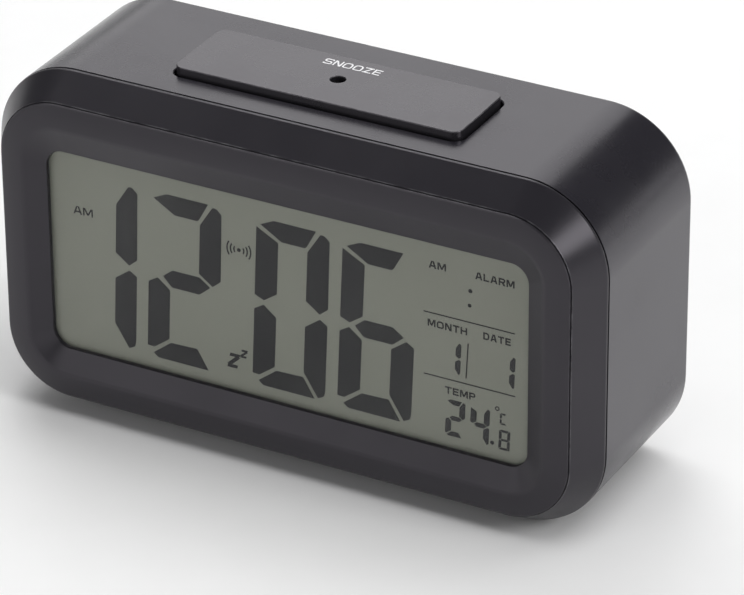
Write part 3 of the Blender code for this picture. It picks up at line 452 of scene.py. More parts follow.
def cell_jacket():
    """A printed battery sleeve: a blue middle, a pale band on each side of it and grey ends."""
    finish = Finish("cell_jacket", 0.3)
    along = finish.node("ShaderNodeSeparateXYZ", {"Vector": finish.place}).outputs["X"]
    far = finish.math("ABSOLUTE", along)
    band = finish.math("GREATER_THAN", far, 14.0 * MM)
    tip = finish.math("GREATER_THAN", far, 19.6 * MM)
    foil = finish.noise(900.0, 2.0, 0.5, finish.stretched((1.0, 12.0, 12.0)))
    blue = finish.blended(finish.ranged(foil, 0.3, 0.7), rgb(38, 84, 140), rgb(46, 96, 156))
    shade = finish.blended(tip, finish.blended(band, blue, rgb(206, 206, 200)), rgb(150, 150, 152))
    rough = finish.ranged(foil, 0.3, 0.7, 0.22, 0.36)
    bump = finish.bumped(foil, 0.1, 0.02 * MM)
    return finish.set(base_color=shade, roughness=rough, coat_weight=0.4, normal=bump)


def tinted(name, colour, roughness, grain, depth, spread, clearness=0.0):
    """A plain moulded or cast material with a little grain and unevenness; depth is in millimetres."""
    finish = Finish(name, roughness)
    fine = finish.noise(grain, 3.0)
    broad = finish.ranged(finish.noise(grain / 12, 3.0), 0.35, 0.7)
    shade = finish.blended(broad, colour, paled(colour, spread))
    rough = finish.ranged(fine, 0.3, 0.7, roughness * 0.85, min(roughness * 1.2, 1.0))
    bump = finish.bumped(fine, 0.25, depth * MM)
    return finish.set(base_color=shade, roughness=rough, transmission_weight=clearness, normal=bump)


def lcd_ground():
    """The display's resting grey-green: fine reflector grain and slow drift in tone."""
    finish = Finish("lcd_ground", 0.55)
    grain = finish.noise(5200.0, 2.0, 0.7)
    drift = finish.ranged(finish.noise(16.0, 2.0), 0.35, 0.65)
    base = finish.blended(drift, rgb(124, 126, 116), rgb(121, 123, 113))
    shade = finish.blended(finish.ranged(grain, 0.3, 0.7, 0.0, 0.5), base, rgb(129, 131, 121))
    rough = finish.ranged(grain, 0.3, 0.7, 0.5, 0.62)
    return finish.set(base_color=shade, roughness=rough, normal=finish.bumped(grain, 0.1, 0.01 * MM))


def clear_window():
    """Thin clear plastic with a fine anti-glare surface: mostly see-through, with a soft shine."""
    finish = Finish("clear_window", 0.3, ior=1.49)
    haze = finish.noise(3800.0, 2.0)
    smear = finish.ranged(finish.noise(26.0, 4.0), 0.4, 0.7, 0.006, 0.02)
    finish.material.surface_render_method = "BLENDED"
    rough = finish.ranged(haze, 0.3, 0.7, 0.26, 0.4)
    bump = finish.bumped(haze, 0.05, 0.005 * MM)
    return finish.set(base_color=rgb(228, 232, 226), roughness=rough, alpha=smear, normal=bump)


def lcd_ink():
    """The dark of the display's lit segments and words."""
    finish = Finish("lcd_ink", 0.45)
    grain = finish.noise(2600.0, 2.0)
    shade = finish.blended(finish.ranged(grain, 0.3, 0.7), rgb(30, 30, 33), rgb(34, 34, 37))
    rough = finish.ranged(grain, 0.3, 0.7, 0.4, 0.5)
    bump = finish.bumped(grain, 0.02, 0.002 * MM)
    return finish.set(base_color=shade, roughness=rough, specular_ior_level=0.35, normal=bump)


# Each finish's second colour is its edge colour: partly wear, partly a painted highlight. The bezel's and the
# bar's are pale, with a larger shine, to paint light lines along the seam bead and the bar's front edge.
CASING_BLACK = moulded("casing_black", rgb(33, 32, 37), rgb(92, 91, 94), 0.27, ior=1.62)
BEZEL_BLACK = moulded("bezel_black", rgb(34, 33, 37), rgb(140, 139, 142), 0.34, 0.25, 6400.0, shine=0.5)
BAR_BLACK = moulded(
    "bar_black", rgb(38, 37, 40), rgb(150, 149, 152), 0.3, 0.3, ior=1.78, shine=0.7, reach=0.55 * MM
)
KEY_BLACK = moulded("key_black", rgb(48, 47, 50), rgb(110, 109, 110), 0.5, 0.45, 4200.0)
FOOT_BLACK = foot_rubber()


# Casing


def rear_casing():
    bm = bmesh.new()
    rings = [
        case_ring(bm, WALL, INNER_BACK),
        case_ring(bm, WALL, SEAM + HAIR),
        case_ring(bm, 0.0, SEAM),
        case_ring(bm, 0.0, BACK),
    ]
    bridged(bm, rings)
    soften(bm, rings[3], BACK_ROUND, 6)
    soften(bm, rings[2], 0.12 * MM, 2)
    soften(bm, rings[0], 0.8 * MM, 2)
    back_cut = [
        key_recess(),
        door_hole(),
        *[screw_well(x, z) for x, z in screw_places()],
        *[rod((x, y, UNDER - MM), (0, 0, 1), FOOT_HOLE, FOOT_SINK + MM) for x, y in foot_places()],
    ]
    past = WALL + 2 * MM
    through = [
        *[rod((x, INNER_BACK - MM, z), (0, 1, 0), KEY_HOLE, past, 40) for x, z in key_places()],
        *[rod((x, INNER_BACK - MM, z), (0, 1, 0), GRILLE_HOLE, past, 20) for x, z in grille_places()],
        switch_slot(),
    ]
    shape = carved(
        bm,
        ("UNION", merged(*bosses())),
        ("DIFFERENCE", merged(bar_slot(), bay_hollow(), buzzer_seat())),
        ("DIFFERENCE", merged(*back_cut)),
        ("DIFFERENCE", merged(*through)),
        ("DIFFERENCE", merged(*small_holes())),
    )
    finished("rear_casing_shell", shape, "housing", CASING_BLACK, ["rear_casing"])


def screw_places(kind="case_screw_"):
    for corner in CORNERS:
        x, _, z = middle_of(kind + corner)
        yield x, z


def foot_places():
    for foot in FEET:
        x, y, _ = middle_of("foot_" + foot)
        yield x, y


def key_places():
    for key in KEYS:
        x, _, z = middle_of(key + "_button")
        yield x, z


def grille_places():
    """One hole in the middle of the buzzer and six around it."""
    x, _, z = middle_of("buzzer")
    yield x, z
    for step in range(6):
        angle = math.pi / 3 * step
        yield x + GRILLE_RADIUS * math.cos(angle), z + GRILLE_RADIUS * math.sin(angle)


def key_recess():
    """The shallow recess that the keys stand in, its lip a little wider at the surface."""
    _, z = next(key_places())
    bm = bmesh.new()
    flare = 0.4 * MM
    rings = [
        rounded_ring(bm, RECESS_X, RECESS_Z, RECESS_RADIUS, BACK - KEY_RECESS, z, 10),
        rounded_ring(bm, RECESS_X, RECESS_Z, RECESS_RADIUS, BACK - flare / 2, z, 10),
        rounded_ring(bm, RECESS_X + flare, RECESS_Z + flare, RECESS_RADIUS + flare, BACK + flare / 2, z, 10),
    ]
    bridged(bm, rings)
    soften(bm, rings[0], 0.35 * MM, 3)
    return bm


def door_hole():
    across = (DOOR_LOW.x - SEAT, DOOR_HIGH.x + SEAT)
    return block(across, (INNER_BACK, BACK + MM), (DOOR_FOOT - SEAT, DOOR_HIGH.z + SEAT))


def screw_well(x, z):
    """A deep round well with a chamfered mouth."""
    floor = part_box("case_screw_lower_left")[1].y - SCREW_HEAD - SEAT
    chamfer = 0.35 * MM
    past = 0.15 * MM
    profile = [
        (0.0, 0.0),
        (WELL_RADIUS, 0.0),
        (WELL_RADIUS, BACK - chamfer - floor),
        (WELL_RADIUS + chamfer + past, BACK + past - floor),
        (0.0, BACK + past - floor),
    ]
    return turned(profile, (x, floor, z), (0, 1, 0), 40)


def bar_slot():
    """The hole that the snooze bar stands in, a little wider at the surface."""
    bm = bmesh.new()
    rings = [
        bar_ring(bm, SLOT_GAP, INNER_TOP - MM),
        bar_ring(bm, SLOT_GAP, TOP - 0.25 * MM),
        bar_ring(bm, SLOT_GAP + 0.35 * MM, TOP + 0.1 * MM),
    ]
    bridged(bm, rings)
    soften(bm, rings[1], 0.15 * MM, 2)
    return bm


def bar_ring(bm, grow, z):
    """The snooze bar's outline at height z, let out by a margin."""
    ring = rounded_ring(bm, BAR_HALF_X + grow, BAR_HALF_Y + grow, BAR_RADIUS + grow, 0.0, 0.0, 12)
    verts = list({vert for edge in ring for vert in edge.verts})
    lay_flat = Matrix.Translation((0.0, BAR_MIDDLE, z)) @ Matrix.Rotation(-math.pi / 2, 4, "X")
    bmesh.ops.transform(bm, matrix=lay_flat, verts=verts)
    return ring


def bay_box():
    """The battery bay's inner limits, from its cells and contacts."""
    low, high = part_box("battery_cell_1")
    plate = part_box("contact_bridge_right")[1].x + SEAT
    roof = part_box("battery_cell_3")[1].z + 0.5 * MM
    return (-plate, plate), (low.y - 0.45 * MM, high.y), (low.z - 0.4 * MM, roof)


def bay_hollow():
    x, y, z = bay_box()
    return block(x, (y[0], INNER_BACK + OVERCUT), z)


def buzzer_seat():
    x, _, z = middle_of("buzzer")
    return rod((x, INNER_BACK - COLLAR_DEPTH - MM, z), (0, 1, 0), COLLAR_BORE, COLLAR_DEPTH + MM)


def switch_slot():
    low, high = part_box("light_switch_knob")
    gap = 0.5 * MM
    across = (low.x - gap, high.x + SWITCH_TRAVEL + gap)
    return block(across, (INNER_BACK - MM, BACK + MM), (low.z - gap, high.z + gap))


def bosses():
    """What stands inside the casing: the battery bay, screw posts, board pins and the buzzer's collar."""
    x, y, z = bay_box()
    into = INNER_BACK + WALL / 2
    across, upright = [(low - BAY_WALL, high + BAY_WALL) for low, high in (x, z)]
    yield block(across, (y[0] - 1.5 * MM, into), upright)
    for at_x, at_z in screw_places():
        yield rod((at_x, POST_START, at_z), (0, 1, 0), POST, into - POST_START, 40)
    front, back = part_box("key_board")[0].y - MM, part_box("key_board")[1].y + SEAT
    keys = list(key_places())
    for left, right in ((0, 1), (3, 4)):
        middle = (keys[left][0] + keys[right][0]) / 2
        yield stepped_pin((middle, front, keys[0][1]), (0, 1, 0), back - front, into - front)
    low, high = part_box("top_board")
    foot_z = low.z - MM
    for side in (-1, 1):
        foot = (side * (high.x - 3 * MM), BAR_MIDDLE, foot_z)
        yield stepped_pin(foot, (0, 0, 1), high.z + SEAT - foot_z, INNER_TOP + WALL / 2 - foot_z)
    at_x, _, at_z = middle_of("buzzer")
    collar_length = COLLAR_DEPTH + WALL / 2
    yield rod((at_x, INNER_BACK - COLLAR_DEPTH, at_z), (0, 1, 0), COLLAR_OUTER, collar_length)


def stepped_pin(foot, along, shoulder, length):
    """A pin that passes through a board and widens to a stud behind it."""
    pin, stud, chamfer = 0.8 * MM, 2.2 * MM, 0.2 * MM
    profile = [(0.0, 0.0), (pin - chamfer, 0.0), (pin, chamfer), (pin, shoulder)]
    profile += [(stud, shoulder), (stud, length), (0.0, length)]
    return turned(profile, foot, along, 24)


def small_holes():
    """Screw holes at the foot of each well, slots for the door's hooks and holes for the battery leads."""
    for x, z in screw_places():
        yield rod((x, 0.0, z), (0, 1, 0), CASE_PILOT, 6.0 * MM, 24)
    bay_x, _, bay_z = bay_box()
    slot_half = 3.5 * MM
    deep = (INNER_BACK - 2.1 * MM, INNER_BACK + OVERCUT)
    for x in HOOKS_X:
        yield block((x - slot_half, x + slot_half), deep, (bay_z[0] - 3.5 * MM, bay_z[0] + MM))
    for side, cell in ((-1, "battery_cell_1"), (1, "battery_cell_3")):
        low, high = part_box(cell)
        middle = (low + high) / 2
        yield rod((side * (bay_x[1] - MM), middle.y, middle.z), (side, 0, 0), 1.9 * MM, 4.5 * MM, 20)


def front_bezel():
    """The frame from its steep outer band over the rim to the window, then back along its inside."""
    bm = bmesh.new()
    skirt = SEAM - SEAM_GAP
    outer = WALL + SEAT
    inner = outer + TONGUE_WALL
    pocket = 0.5 * MM
    lip_back = FRONT + WINDOW_DEPTH + LIP
    rings = [
        case_ring(bm, SEAM_INSET, skirt),
        case_ring(bm, SEAM_INSET + 0.01 * MM, skirt - SEAM_BEAD),
        case_ring(bm, RIDGE_INSET - 0.2 * MM, FRONT + 1.05 * MM),
        case_ring(bm, RIDGE_INSET - 0.13 * MM, FRONT + 1.3 * MM),
        case_ring(bm, RIDGE_INSET - 0.03 * MM, FRONT + 1.3 * MM - HAIR),
        case_ring(bm, RIDGE_INSET + 0.05 * MM, FRONT + 0.75 * MM),
        case_ring(bm, RIDGE_INSET + 0.3 * MM, FRONT + 0.6 * MM),
        case_ring(bm, 6.9 * MM, FRONT + 0.17 * MM),
        case_ring(bm, 8.9 * MM, FRONT),
        case_ring(bm, 10.0 * MM, FRONT + HAIR),
        window_ring(bm, 0.0, FRONT + WINDOW_DEPTH, WINDOW_RADIUS),
        window_ring(bm, 0.0, lip_back, WINDOW_RADIUS),
        window_ring(bm, POCKET_REACH, lip_back + HAIR, pocket),
        window_ring(bm, POCKET_REACH, POCKET_BACK, pocket),
        window_ring(bm, POCKET_REACH + RIB, POCKET_BACK - HAIR, pocket + RIB),
        window_ring(bm, POCKET_REACH + RIB, lip_back - 0.7 * MM, pocket + RIB),
        case_ring(bm, RIDGE_INSET + 2.6 * MM, lip_back - 0.5 * MM),
        case_ring(bm, RIDGE_INSET - 0.1 * MM, lip_back + 3.0 * MM),
        case_ring(bm, inner, skirt - 1.0 * MM),
        case_ring(bm, inner, skirt + TONGUE),
        case_ring(bm, outer, skirt + TONGUE - HAIR),
        case_ring(bm, outer, skirt + HAIR),
    ]
    bridged(bm, rings, closed=True)
    soften(bm, rings[0], 0.08 * MM, 2)
    soften(bm, rings[1], 0.25 * MM, 3)
    soften(bm, rings[6], 0.2 * MM, 2)
    soften(bm, rings[7], 0.9 * MM, 3)
    soften(bm, rings[8], 0.5 * MM, 2)
    soften(bm, rings[9], 0.55 * MM, 6)
    soften(bm, rings[10], 0.18 * MM, 3)
    base = FRONT + 2.4 * MM
    boss_end = POST_START - SEAT
    board_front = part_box("main_board")[0].y - SEAT
    posts = [rod((x, base, z), (0, 1, 0), 6 * MM, boss_end - base, 40) for x, z in screw_places()]
    pilots = [rod((x, boss_end - 9 * MM, z), (0, 1, 0), CASE_PILOT, 10 * MM, 24) for x, z in screw_places()]
    for x, z in screw_places("board_screw_"):
        posts.append(rod((x, base, z), (0, 1, 0), 5 * MM, board_front - base, 32))
        pilots.append(rod((x, board_front - 6 * MM, z), (0, 1, 0), BOARD_PILOT, 7 * MM, 20))
    shape = carved(bm, ("UNION", merged(*posts)), ("DIFFERENCE", merged(*pilots)))
    finished("front_bezel_frame", shape, "housing", BEZEL_BLACK, ["front_bezel"])


def feet():
    for foot, (x, y) in zip(FEET, foot_places()):
        low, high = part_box("foot_" + foot)
        radius = (high.x - low.x) / 2
        height = high.z - low.z
        rounding = 0.25 * MM
        profile = [
            (0.0, 0.0),
            (radius - 0.45 * MM, 0.0),
            *arc((radius - rounding, rounding), rounding, -90, 0, 4),
            (radius, height),
            (0.0, height),
        ]
        shape = turned(profile, (x, y, low.z), (0, 0, 1))
        finished(f"foot_{foot}_pad", shape, "housing", FOOT_BLACK, ["foot_" + foot])


# Snooze bar


def snooze_bar():
    """A hollow bar with a lip at each end, a post over its switch and a hole over the light sensor."""
    bm = bmesh.new()
    top = BAR_HIGH.z - INK
    skirt = BAR_LOW.z
    rings = [
        bar_ring(bm, -BAR_WALL, top - BAR_WALL),
        bar_ring(bm, -BAR_WALL, skirt + HAIR),
        bar_ring(bm, 0.0, skirt),
        bar_ring(bm, 0.0, top),
    ]
    bridged(bm, rings)
    soften(bm, rings[3], 0.22 * MM, 4)
    lips = [
        block(
            sorted((side * (BAR_HALF_X - 0.8 * MM), side * BAR_HIGH.x)),
            (BAR_MIDDLE - 6 * MM, BAR_MIDDLE + 6 * MM),
            (skirt, skirt + 0.8 * MM),
            0.1 * MM,
        )
        for side in (-1, 1)
    ]
    switch_x = middle_of("snooze_switch_plunger")[0]
    post_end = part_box("snooze_switch_plunger")[1].z + SEAT
    post = rod((switch_x, BAR_MIDDLE, post_end), (0, 0, 1), 5 * MM, top - 0.8 * MM - post_end)
    hole_radius, mouth_radius = 1.62 * MM, 1.85 * MM
    mouth, past = 3.85 * MM, 4.12 * MM
    profile = [(0.0, 0.0), (hole_radius, 0.0), (hole_radius, mouth), (mouth_radius, past), (0.0, past)]
    hole = turned(profile, (0.0, middle_of("light_sensor")[1], top - 4 * MM), (0, 0, 1))
    shape = carved(bm, ("UNION", merged(*lips, post)), ("DIFFERENCE", hole))
    finished("snooze_bar_key", shape, "snooze", BAR_BLACK, ["snooze_bar"])


# Plain block letters in a unit cell: width over height, straight strokes, then rounded ones
LETTERS = {
    "A": (0.95, [(0, 0, 0.4, 1), (0.6, 1, 1, 0), (0.14, 0.28, 0.86, 0.28)], []),
    "C": (0.95, [], [[(1, 0.8), (1, 1), (0, 1), (0, 0), (1, 0), (1, 0.2)]]),
    "D": (0.9, [(0, 0, 0, 1)], [[(0, 1), (1, 1), (1, 0), (0, 0)]]),
    "E": (0.8, [(0, 0, 0, 1), (0, 1, 1, 1), (0, 0.52, 0.9, 0.52), (0, 0, 1, 0)], []),
    "F": (0.8, [(0, 0, 0, 1), (0, 1, 1, 1), (0, 0.52, 0.9, 0.52)], []),
    "H": (0.9, [(0, 0, 0, 1), (1, 0, 1, 1), (0, 0.5, 1, 0.5)], []),
    "L": (0.75, [(0, 0, 0, 1), (0, 0, 1, 0)], []),
    "M": (1.15, [(0, 0, 0, 1), (1, 0, 1, 1), (0.08, 1, 0.5, 0.15), (0.5, 0.15, 0.92, 1)], []),
    "N": (0.9, [(0, 0, 0, 1), (1, 0, 1, 1), (0.06, 1, 0.94, 0)], []),
    "O": (1.0, [], [[(0.5, 0), (1, 0), (1, 1), (0, 1), (0, 0), (0.51, 0)]]),
    "P": (0.85, [(0, 0, 0, 1)], [[(0, 1), (1, 1), (1, 0.45), (0, 0.45)]]),
    "R": (0.9, [(0, 0, 0, 1), (0.5, 0.46, 1, 0)], [[(0, 1), (1, 1), (1, 0.46), (0, 0.46)]]),
    "S": (0.95, [], [[(1, 0.8), (1, 1), (0, 1), (0, 0.5), (1, 0.5), (1, 0), (0, 0), (0, 0.2)]]),
    "T": (0.9, [(0, 1, 1, 1), (0.5, 0, 0.5, 1)], []),
    "U": (0.9, [], [[(0, 1), (0, 0), (1, 0), (1, 1)]]),
    "W": (1.3, [(0, 1, 0.25, 0), (0.25, 0, 0.5, 0.9), (0.5, 0.9, 0.75, 0), (0.75, 0, 1, 1)], []),
    "Z": (0.95, [(0, 1, 1, 1), (0.06, 0, 0.94, 1), (0, 0, 1, 0)], []),
    "/": (0.35, [(0, 0, 1, 1)], []),
}
STROKE_STEP = 0.001 * MM  # keeps the crossing strokes of a letter out of one plane
INK_DEPTH = INK + 0.02 * MM


def prism(outline, offset):
    """A thin solid between an outline of points and its copy at an offset."""
    bm = bmesh.new()
    near = [bm.verts.new(point) for point in outline]
    far = [bm.verts.new(Vector(point) + offset) for point in outline]
    bm.faces.new(near)
    bm.faces.new(far[::-1])
    for index in range(len(near)):
        bm.faces.new((near[index - 1], near[index], far[index], far[index - 1]))
    bmesh.ops.recalc_face_normals(bm, faces=bm.faces)
    return bm


def eased(points, radius, steps=5):
    """A path with its corners rounded off."""
    path = [Vector(point) for point in points]
    yield path[0]
    for before, corner, after in zip(path, path[1:], path[2:]):
        into, out = (before - corner), (after - corner)
        reach = min(radius, into.length * 0.49, out.length * 0.49)
        start, finish = corner + into.normalized() * reach, corner + out.normalized() * reach
        for step in range(steps + 1):
            part = step / steps
            yield start.lerp(corner, part).lerp(corner.lerp(finish, part), part)
    yield path[-1]


def band_outline(points, width):
    """Both sides of a stroke of this width along a smooth path."""
    path = list(points)
    left, right = [], []
    for index, point in enumerate(path):
        way = path[min(index + 1, len(path) - 1)] - path[max(index - 1, 0)]
        across = Vector((-way.y, way.x)).normalized() * width / 2
        left.append(point + across)
        right.append(point - across)
    return left + right[::-1]


def straight_outline(x1, y1, x2, y2, width):
    """A straight stroke that is cut level at its ends, or upright where it lies flat."""
    half = width / 2
    if y1 == y2:
        low, high = min(x1, x2) - half, max(x1, x2) + half
        return [(low, y1 - half), (high, y1 - half), (high, y1 + half), (low, y1 + half)]
    way = Vector((x2 - x1, y2 - y1))
    across = half * way.length / abs(way.y)
    rise = math.copysign(half, way.y)
    start = [(x1 - across, y1 - rise), (x1 + across, y1 - rise)]
    return start + [(x2 + across, y2 + rise), (x2 - across, y2 + rise)]


def letter(name, width, height, weight, thickness):
    """One letter; its strokes lie inside the width and the height, and its top face at zero."""
    _, straights, curves = LETTERS[name]

    def placed(x, y):
        return weight / 2 + x * (width - weight), weight / 2 + y * (height - weight)

    outlines = [straight_outline(*placed(x1, y1), *placed(x2, y2), weight) for x1, y1, x2, y2 in straights]
    for curve in curves:
        path = eased([placed(*point) for point in curve], height * 0.34)
        outlines.append(band_outline(path, weight))
    down = Vector((0.0, 0.0, -thickness))
    return merged(
        *[
            prism([(x, y, -STROKE_STEP * index) for x, y in outline], down)
            for index, outline in enumerate(outlines)
        ]
    )


def lettering(text, width, height, weight, middle, facing, thickness):
    """Block capitals that fill a width, on a face that looks to the top, the front or the back."""
    gap = weight * 0.9
    open_width = width - gap * (len(text) - 1)
    share = (open_width - weight * len(text)) / sum(LETTERS[name][0] for name in text)
    shapes, x = [], -width / 2
    for name in text:
        wide = weight + LETTERS[name][0] * share
        shape = letter(name, wide, height, weight, thickness)
        bmesh.ops.translate(shape, vec=(x, -height / 2, 0.0), verts=shape.verts)
        shapes.append(shape)
        x += wide + gap
    bm = merged(*shapes)
    turn = Matrix.Identity(4)
    if facing != "top":
        turn = Matrix.Rotation(math.pi / 2, 4, "X")
    if facing == "back":
        turn = Matrix.Rotation(math.pi, 4, "Z") @ turn
    bmesh.ops.transform(bm, matrix=Matrix.Translation(middle) @ turn, verts=bm.verts)
    return bm


def key_legends():
    """Small printed words over the rear keys, on the floor of their recess."""
    words = {"mode": "MODE", "set": "SET", "up": "UP", "down": "DOWN", "unit": "C/F"}
    shapes = []
    for (x, z), key in zip(key_places(), KEYS):
        place = Vector((x, BACK - KEY_RECESS + INK, z + 4.75 * MM))
        width = 1.15 * MM * len(words[key])
        shapes.append(lettering(words[key], width, 1.3 * MM, 0.24 * MM, place, "back", INK_DEPTH))
    ink = tinted("legend_ink", rgb(214, 214, 216), 0.5, 2400.0, 0.01, 0.94)
    finished("key_legends", merged(*shapes), "housing", ink, weighted=False)


def bar_label():
    """A small plain word over the middle of the bar."""
    place = Vector((0.0, BAR_HIGH.y - 3.4 * MM, BAR_HIGH.z))
    shape = lettering("SNOOZE", 13.0 * MM, 2.3 * MM, 0.34 * MM, place, "top", INK_DEPTH)
    ink = tinted("label_ink", rgb(238, 238, 240), 0.5, 2400.0, 0.01, 0.94)
    finished("snooze_label", shape, "snooze", ink, weighted=False)


# Display


def segment_outlines(half_x, half_z, stroke):
    """The seven segments of a digit as outlines around its middle; every cut scales with the stroke."""
    unit = stroke / 5.1
    in_x = half_x - stroke
    bar = 4.4 * unit
    lip = 2.0 * unit
    return {
        "a": [
            (-half_x + 0.9 * unit, half_z - 1.45 * unit),
            (-half_x + 3.9 * unit, half_z),
            (half_x - 3.3 * unit, half_z),
            (in_x - 0.1 * unit, half_z - bar + 0.6 * unit),
            (in_x - 0.6 * unit, half_z - bar),
            (-in_x + 0.8 * unit, half_z - bar),
        ],
        "b": [
            (half_x - 2.3 * unit, half_z - 0.55 * unit),
            (half_x - 1.4 * unit, half_z - 0.55 * unit),
            (half_x - 0.15 * unit, half_z - 1.65 * unit),
            (half_x, 2.2 * unit),
            (half_x - 1.85 * unit, 0.6 * unit),
            (in_x, 2.9 * unit),
            (in_x, half_z - 5.2 * unit),
        ],
        "c": [
            (half_x - 1.8 * unit, -0.6 * unit),
            (half_x, -1.7 * unit),
            (half_x, -half_z + 2.3 * unit),
            (half_x - 0.25 * unit, -half_z + 1.1 * unit),
            (half_x - 1.6 * unit, -half_z + 0.35 * unit),
            (in_x, -half_z + 5.6 * unit),
            (in_x, -3.1 * unit),
        ],
        "d": [
            (-half_x + 1.45 * unit, -half_z + 0.95 * unit),
            (-in_x + 0.4 * unit, -half_z + 4.2 * unit),
            (in_x - 0.1 * unit, -half_z + bar),
            (half_x - 2.4 * unit, -half_z),
            (-half_x + 2.6 * unit, -half_z),
        ],
        "e": [
            (-half_x + 2.1 * unit, -0.5 * unit),
            (-in_x, -2.8 * unit),
            (-in_x, -half_z + 5.0 * unit),
            (-half_x + 1.6 * unit, -half_z + 2.3 * unit),
            (-half_x, -half_z + 2.4 * unit),
            (-half_x, -1.8 * unit),
        ],
        "f": [
            (-half_x, half_z - 2.15 * unit),
            (-half_x, 1.5 * unit),
            (-half_x + 2.2 * unit, 0.6 * unit),
            (-in_x, 2.7 * unit),
            (-in_x, half_z - 4.85 * unit),
        ],
        "g": [
            (-half_x + 3.4 * unit, 0.2 * unit),
            (-in_x + 0.45 * unit, lip),
            (in_x + 0.1 * unit, lip),
            (half_x - 2.4 * unit, 0.2 * unit),
            (in_x + 0.2 * unit, -lip),
            (-in_x + 0.45 * unit, -lip),
        ],
    }


# The segments lit for each figure
LIT = {"0": "abcdef", "1": "bc", "2": "abdeg", "4": "bcfg", "6": "acdefg", "8": "abcdefg", "C": "adef"}
LEAN = 0.047  # sideways per unit of height
SHIFT_X = -0.68  # the layout's offset on the glass, in millimetres
SHIFT_Z = -0.79


def on_glass(x, z):
    """A place on the display, in millimetres right of its middle and above the casing's underside."""
    return Vector(((x + SHIFT_X) * MM, LCD_LOW.y - 0.06 * MM, UNDER + (z + SHIFT_Z) * MM))


def flat_shape(outline):
    """A thin plate with this outline of (x, z) places on the glass."""
    return prism([on_glass(x, z) for x, z in outline], Vector((0.0, 0.04 * MM, 0.0)))


def digit(text, x, z, half_x, half_z, stroke):
    """The lit segments of one figure, leaning a little to the right."""
    outlines = segment_outlines(half_x, half_z, stroke)
    for name in LIT[text]:
        yield flat_shape([(x + px + LEAN * pz, z + pz) for px, pz in outlines[name]])


def disc(x, z, radius):
    return flat_shape(list(arc((x, z), radius, 0, 345, 23)))


def ring(x, z, radius, hole):
    for start in (0, 180):
        yield arc_band(x, z, (radius + hole) / 2, radius - hole, start, start + 180)


def bar_line(x1, z1, x2, z2, width):
    """A straight printed line."""
    start, end = Vector((x1, z1)), Vector((x2, z2))
    side = (end - start).normalized().orthogonal() * width / 2
    return flat_shape([tuple(p) for p in (start + side, end + side, end - side, start - side)])


def arc_band(x, z, radius, width, start, end):
    """Part of a ring, for the alarm's sound waves."""
    outer = arc((x, z), radius + width / 2, start, end, 10)
    inner = arc((x, z), radius - width / 2, end, start, 10)
    return flat_shape([*outer, *inner])


def word(text, x1, x2, z1, z2):
    """A printed word between these limits on the glass."""
    middle = on_glass((x1 + x2) / 2, (z1 + z2) / 2)
    return lettering(text, (x2 - x1) * MM, (z2 - z1) * MM, 0.32 * MM, middle, "front", 0.04 * MM)


def display():
    time_digits = []
    for text, x in (("1", -42.8), ("2", -23.1), ("0", 1.75), ("6", 21.45)):
        time_digits += digit(text, x, 37.9, 8.45, 19.35, 5.1)
    small = [
        *digit("1", 38.1, 36.5, 2.2, 3.65, 1.2),
        *digit("1", 50.15, 36.5, 2.2, 3.65, 1.2),
        *digit("2", 39.1, 22.6, 2.15, 4.2, 1.3),
        *digit("4", 44.6, 22.6, 2.15, 4.2, 1.3),
        *digit("8", 50.1, 20.6, 1.25, 2.3, 0.62),
        *digit("C", 49.9, 25.4, 0.8, 1.3, 0.42),
        disc(47.4, 19.35, 0.45),
        *ring(48.5, 27.5, 0.52, 0.28),
        disc(42.4, 52.6, 0.45),
        disc(42.25, 49.3, 0.42),
        bar_line(32.0, 45.5, 52.25, 45.5, 0.25),
        bar_line(32.0, 31.3, 52.5, 31.3, 0.25),
        bar_line(41.95, 40.6, 41.5, 32.6, 0.25),
        word("AM", -49.1, -44.5, 47.5, 49.3),
        word("AM", 33.2, 37.0, 55.6, 57.2),
        word("ALARM", 43.5, 52.1, 55.6, 57.2),
        word("MONTH", 32.9, 41.7, 42.4, 44.0),
        word("DATE", 45.3, 51.4, 42.5, 44.1),
        word("TEMP", 36.8, 43.6, 28.0, 29.6),
        *sound_icon(-10.1, 48.6),
        *sleep_icon(),
    ]
    ink = lcd_ink()
    finished("lcd_time_digits", merged(*time_digits), "housing", ink, weighted=False)
    finished("lcd_small_marks", merged(*small), "housing", ink, weighted=False)


def sound_icon(x, z):
    yield disc(x, z, 0.42)
    for radius in (1.15, 1.95, 2.75):
        for middle in (0, 180):
            yield arc_band(x, z, radius, 0.3, middle - 34, middle + 34)


def letter_z(x1, x2, z1, z2, stroke):
    """A slanted Z of three strokes."""
    lean = 0.25 * (z2 - z1)
    low, high = z1 + stroke, z2 - stroke
    end, start = x2 - lean, x1 + lean
    yield flat_shape([(x1, z1), (end, z1), (end + stroke * 0.3, low), (x1 + stroke * 0.4, low)])
    yield flat_shape([(start, z2), (x2, z2), (x2 - stroke * 0.4, high), (start - stroke * 0.3, high)])
    yield flat_shape([(x1, low), (x1 + stroke * 1.6, low), (x2, high), (x2 - stroke * 1.6, high)])


def sleep_icon():
    yield from letter_z(-13.5, -10.3, 20.8, 24.2, 0.75)
    yield from letter_z(-10.4, -8.5, 23.7, 25.6, 0.45)


def display_window():
    bm = bmesh.new()
    rings = [
        window_ring(bm, -LENS_GAP, LENS_LOW.y, WINDOW_RADIUS - LENS_GAP),
        window_ring(bm, -LENS_GAP, LENS_HIGH.y, WINDOW_RADIUS - LENS_GAP),
    ]
    bridged(bm, rings)
    soften(bm, rings[0], 0.12 * MM, 2)
    finished("display_window", bm, "housing", clear_window(), ["display_lens"])


# Back


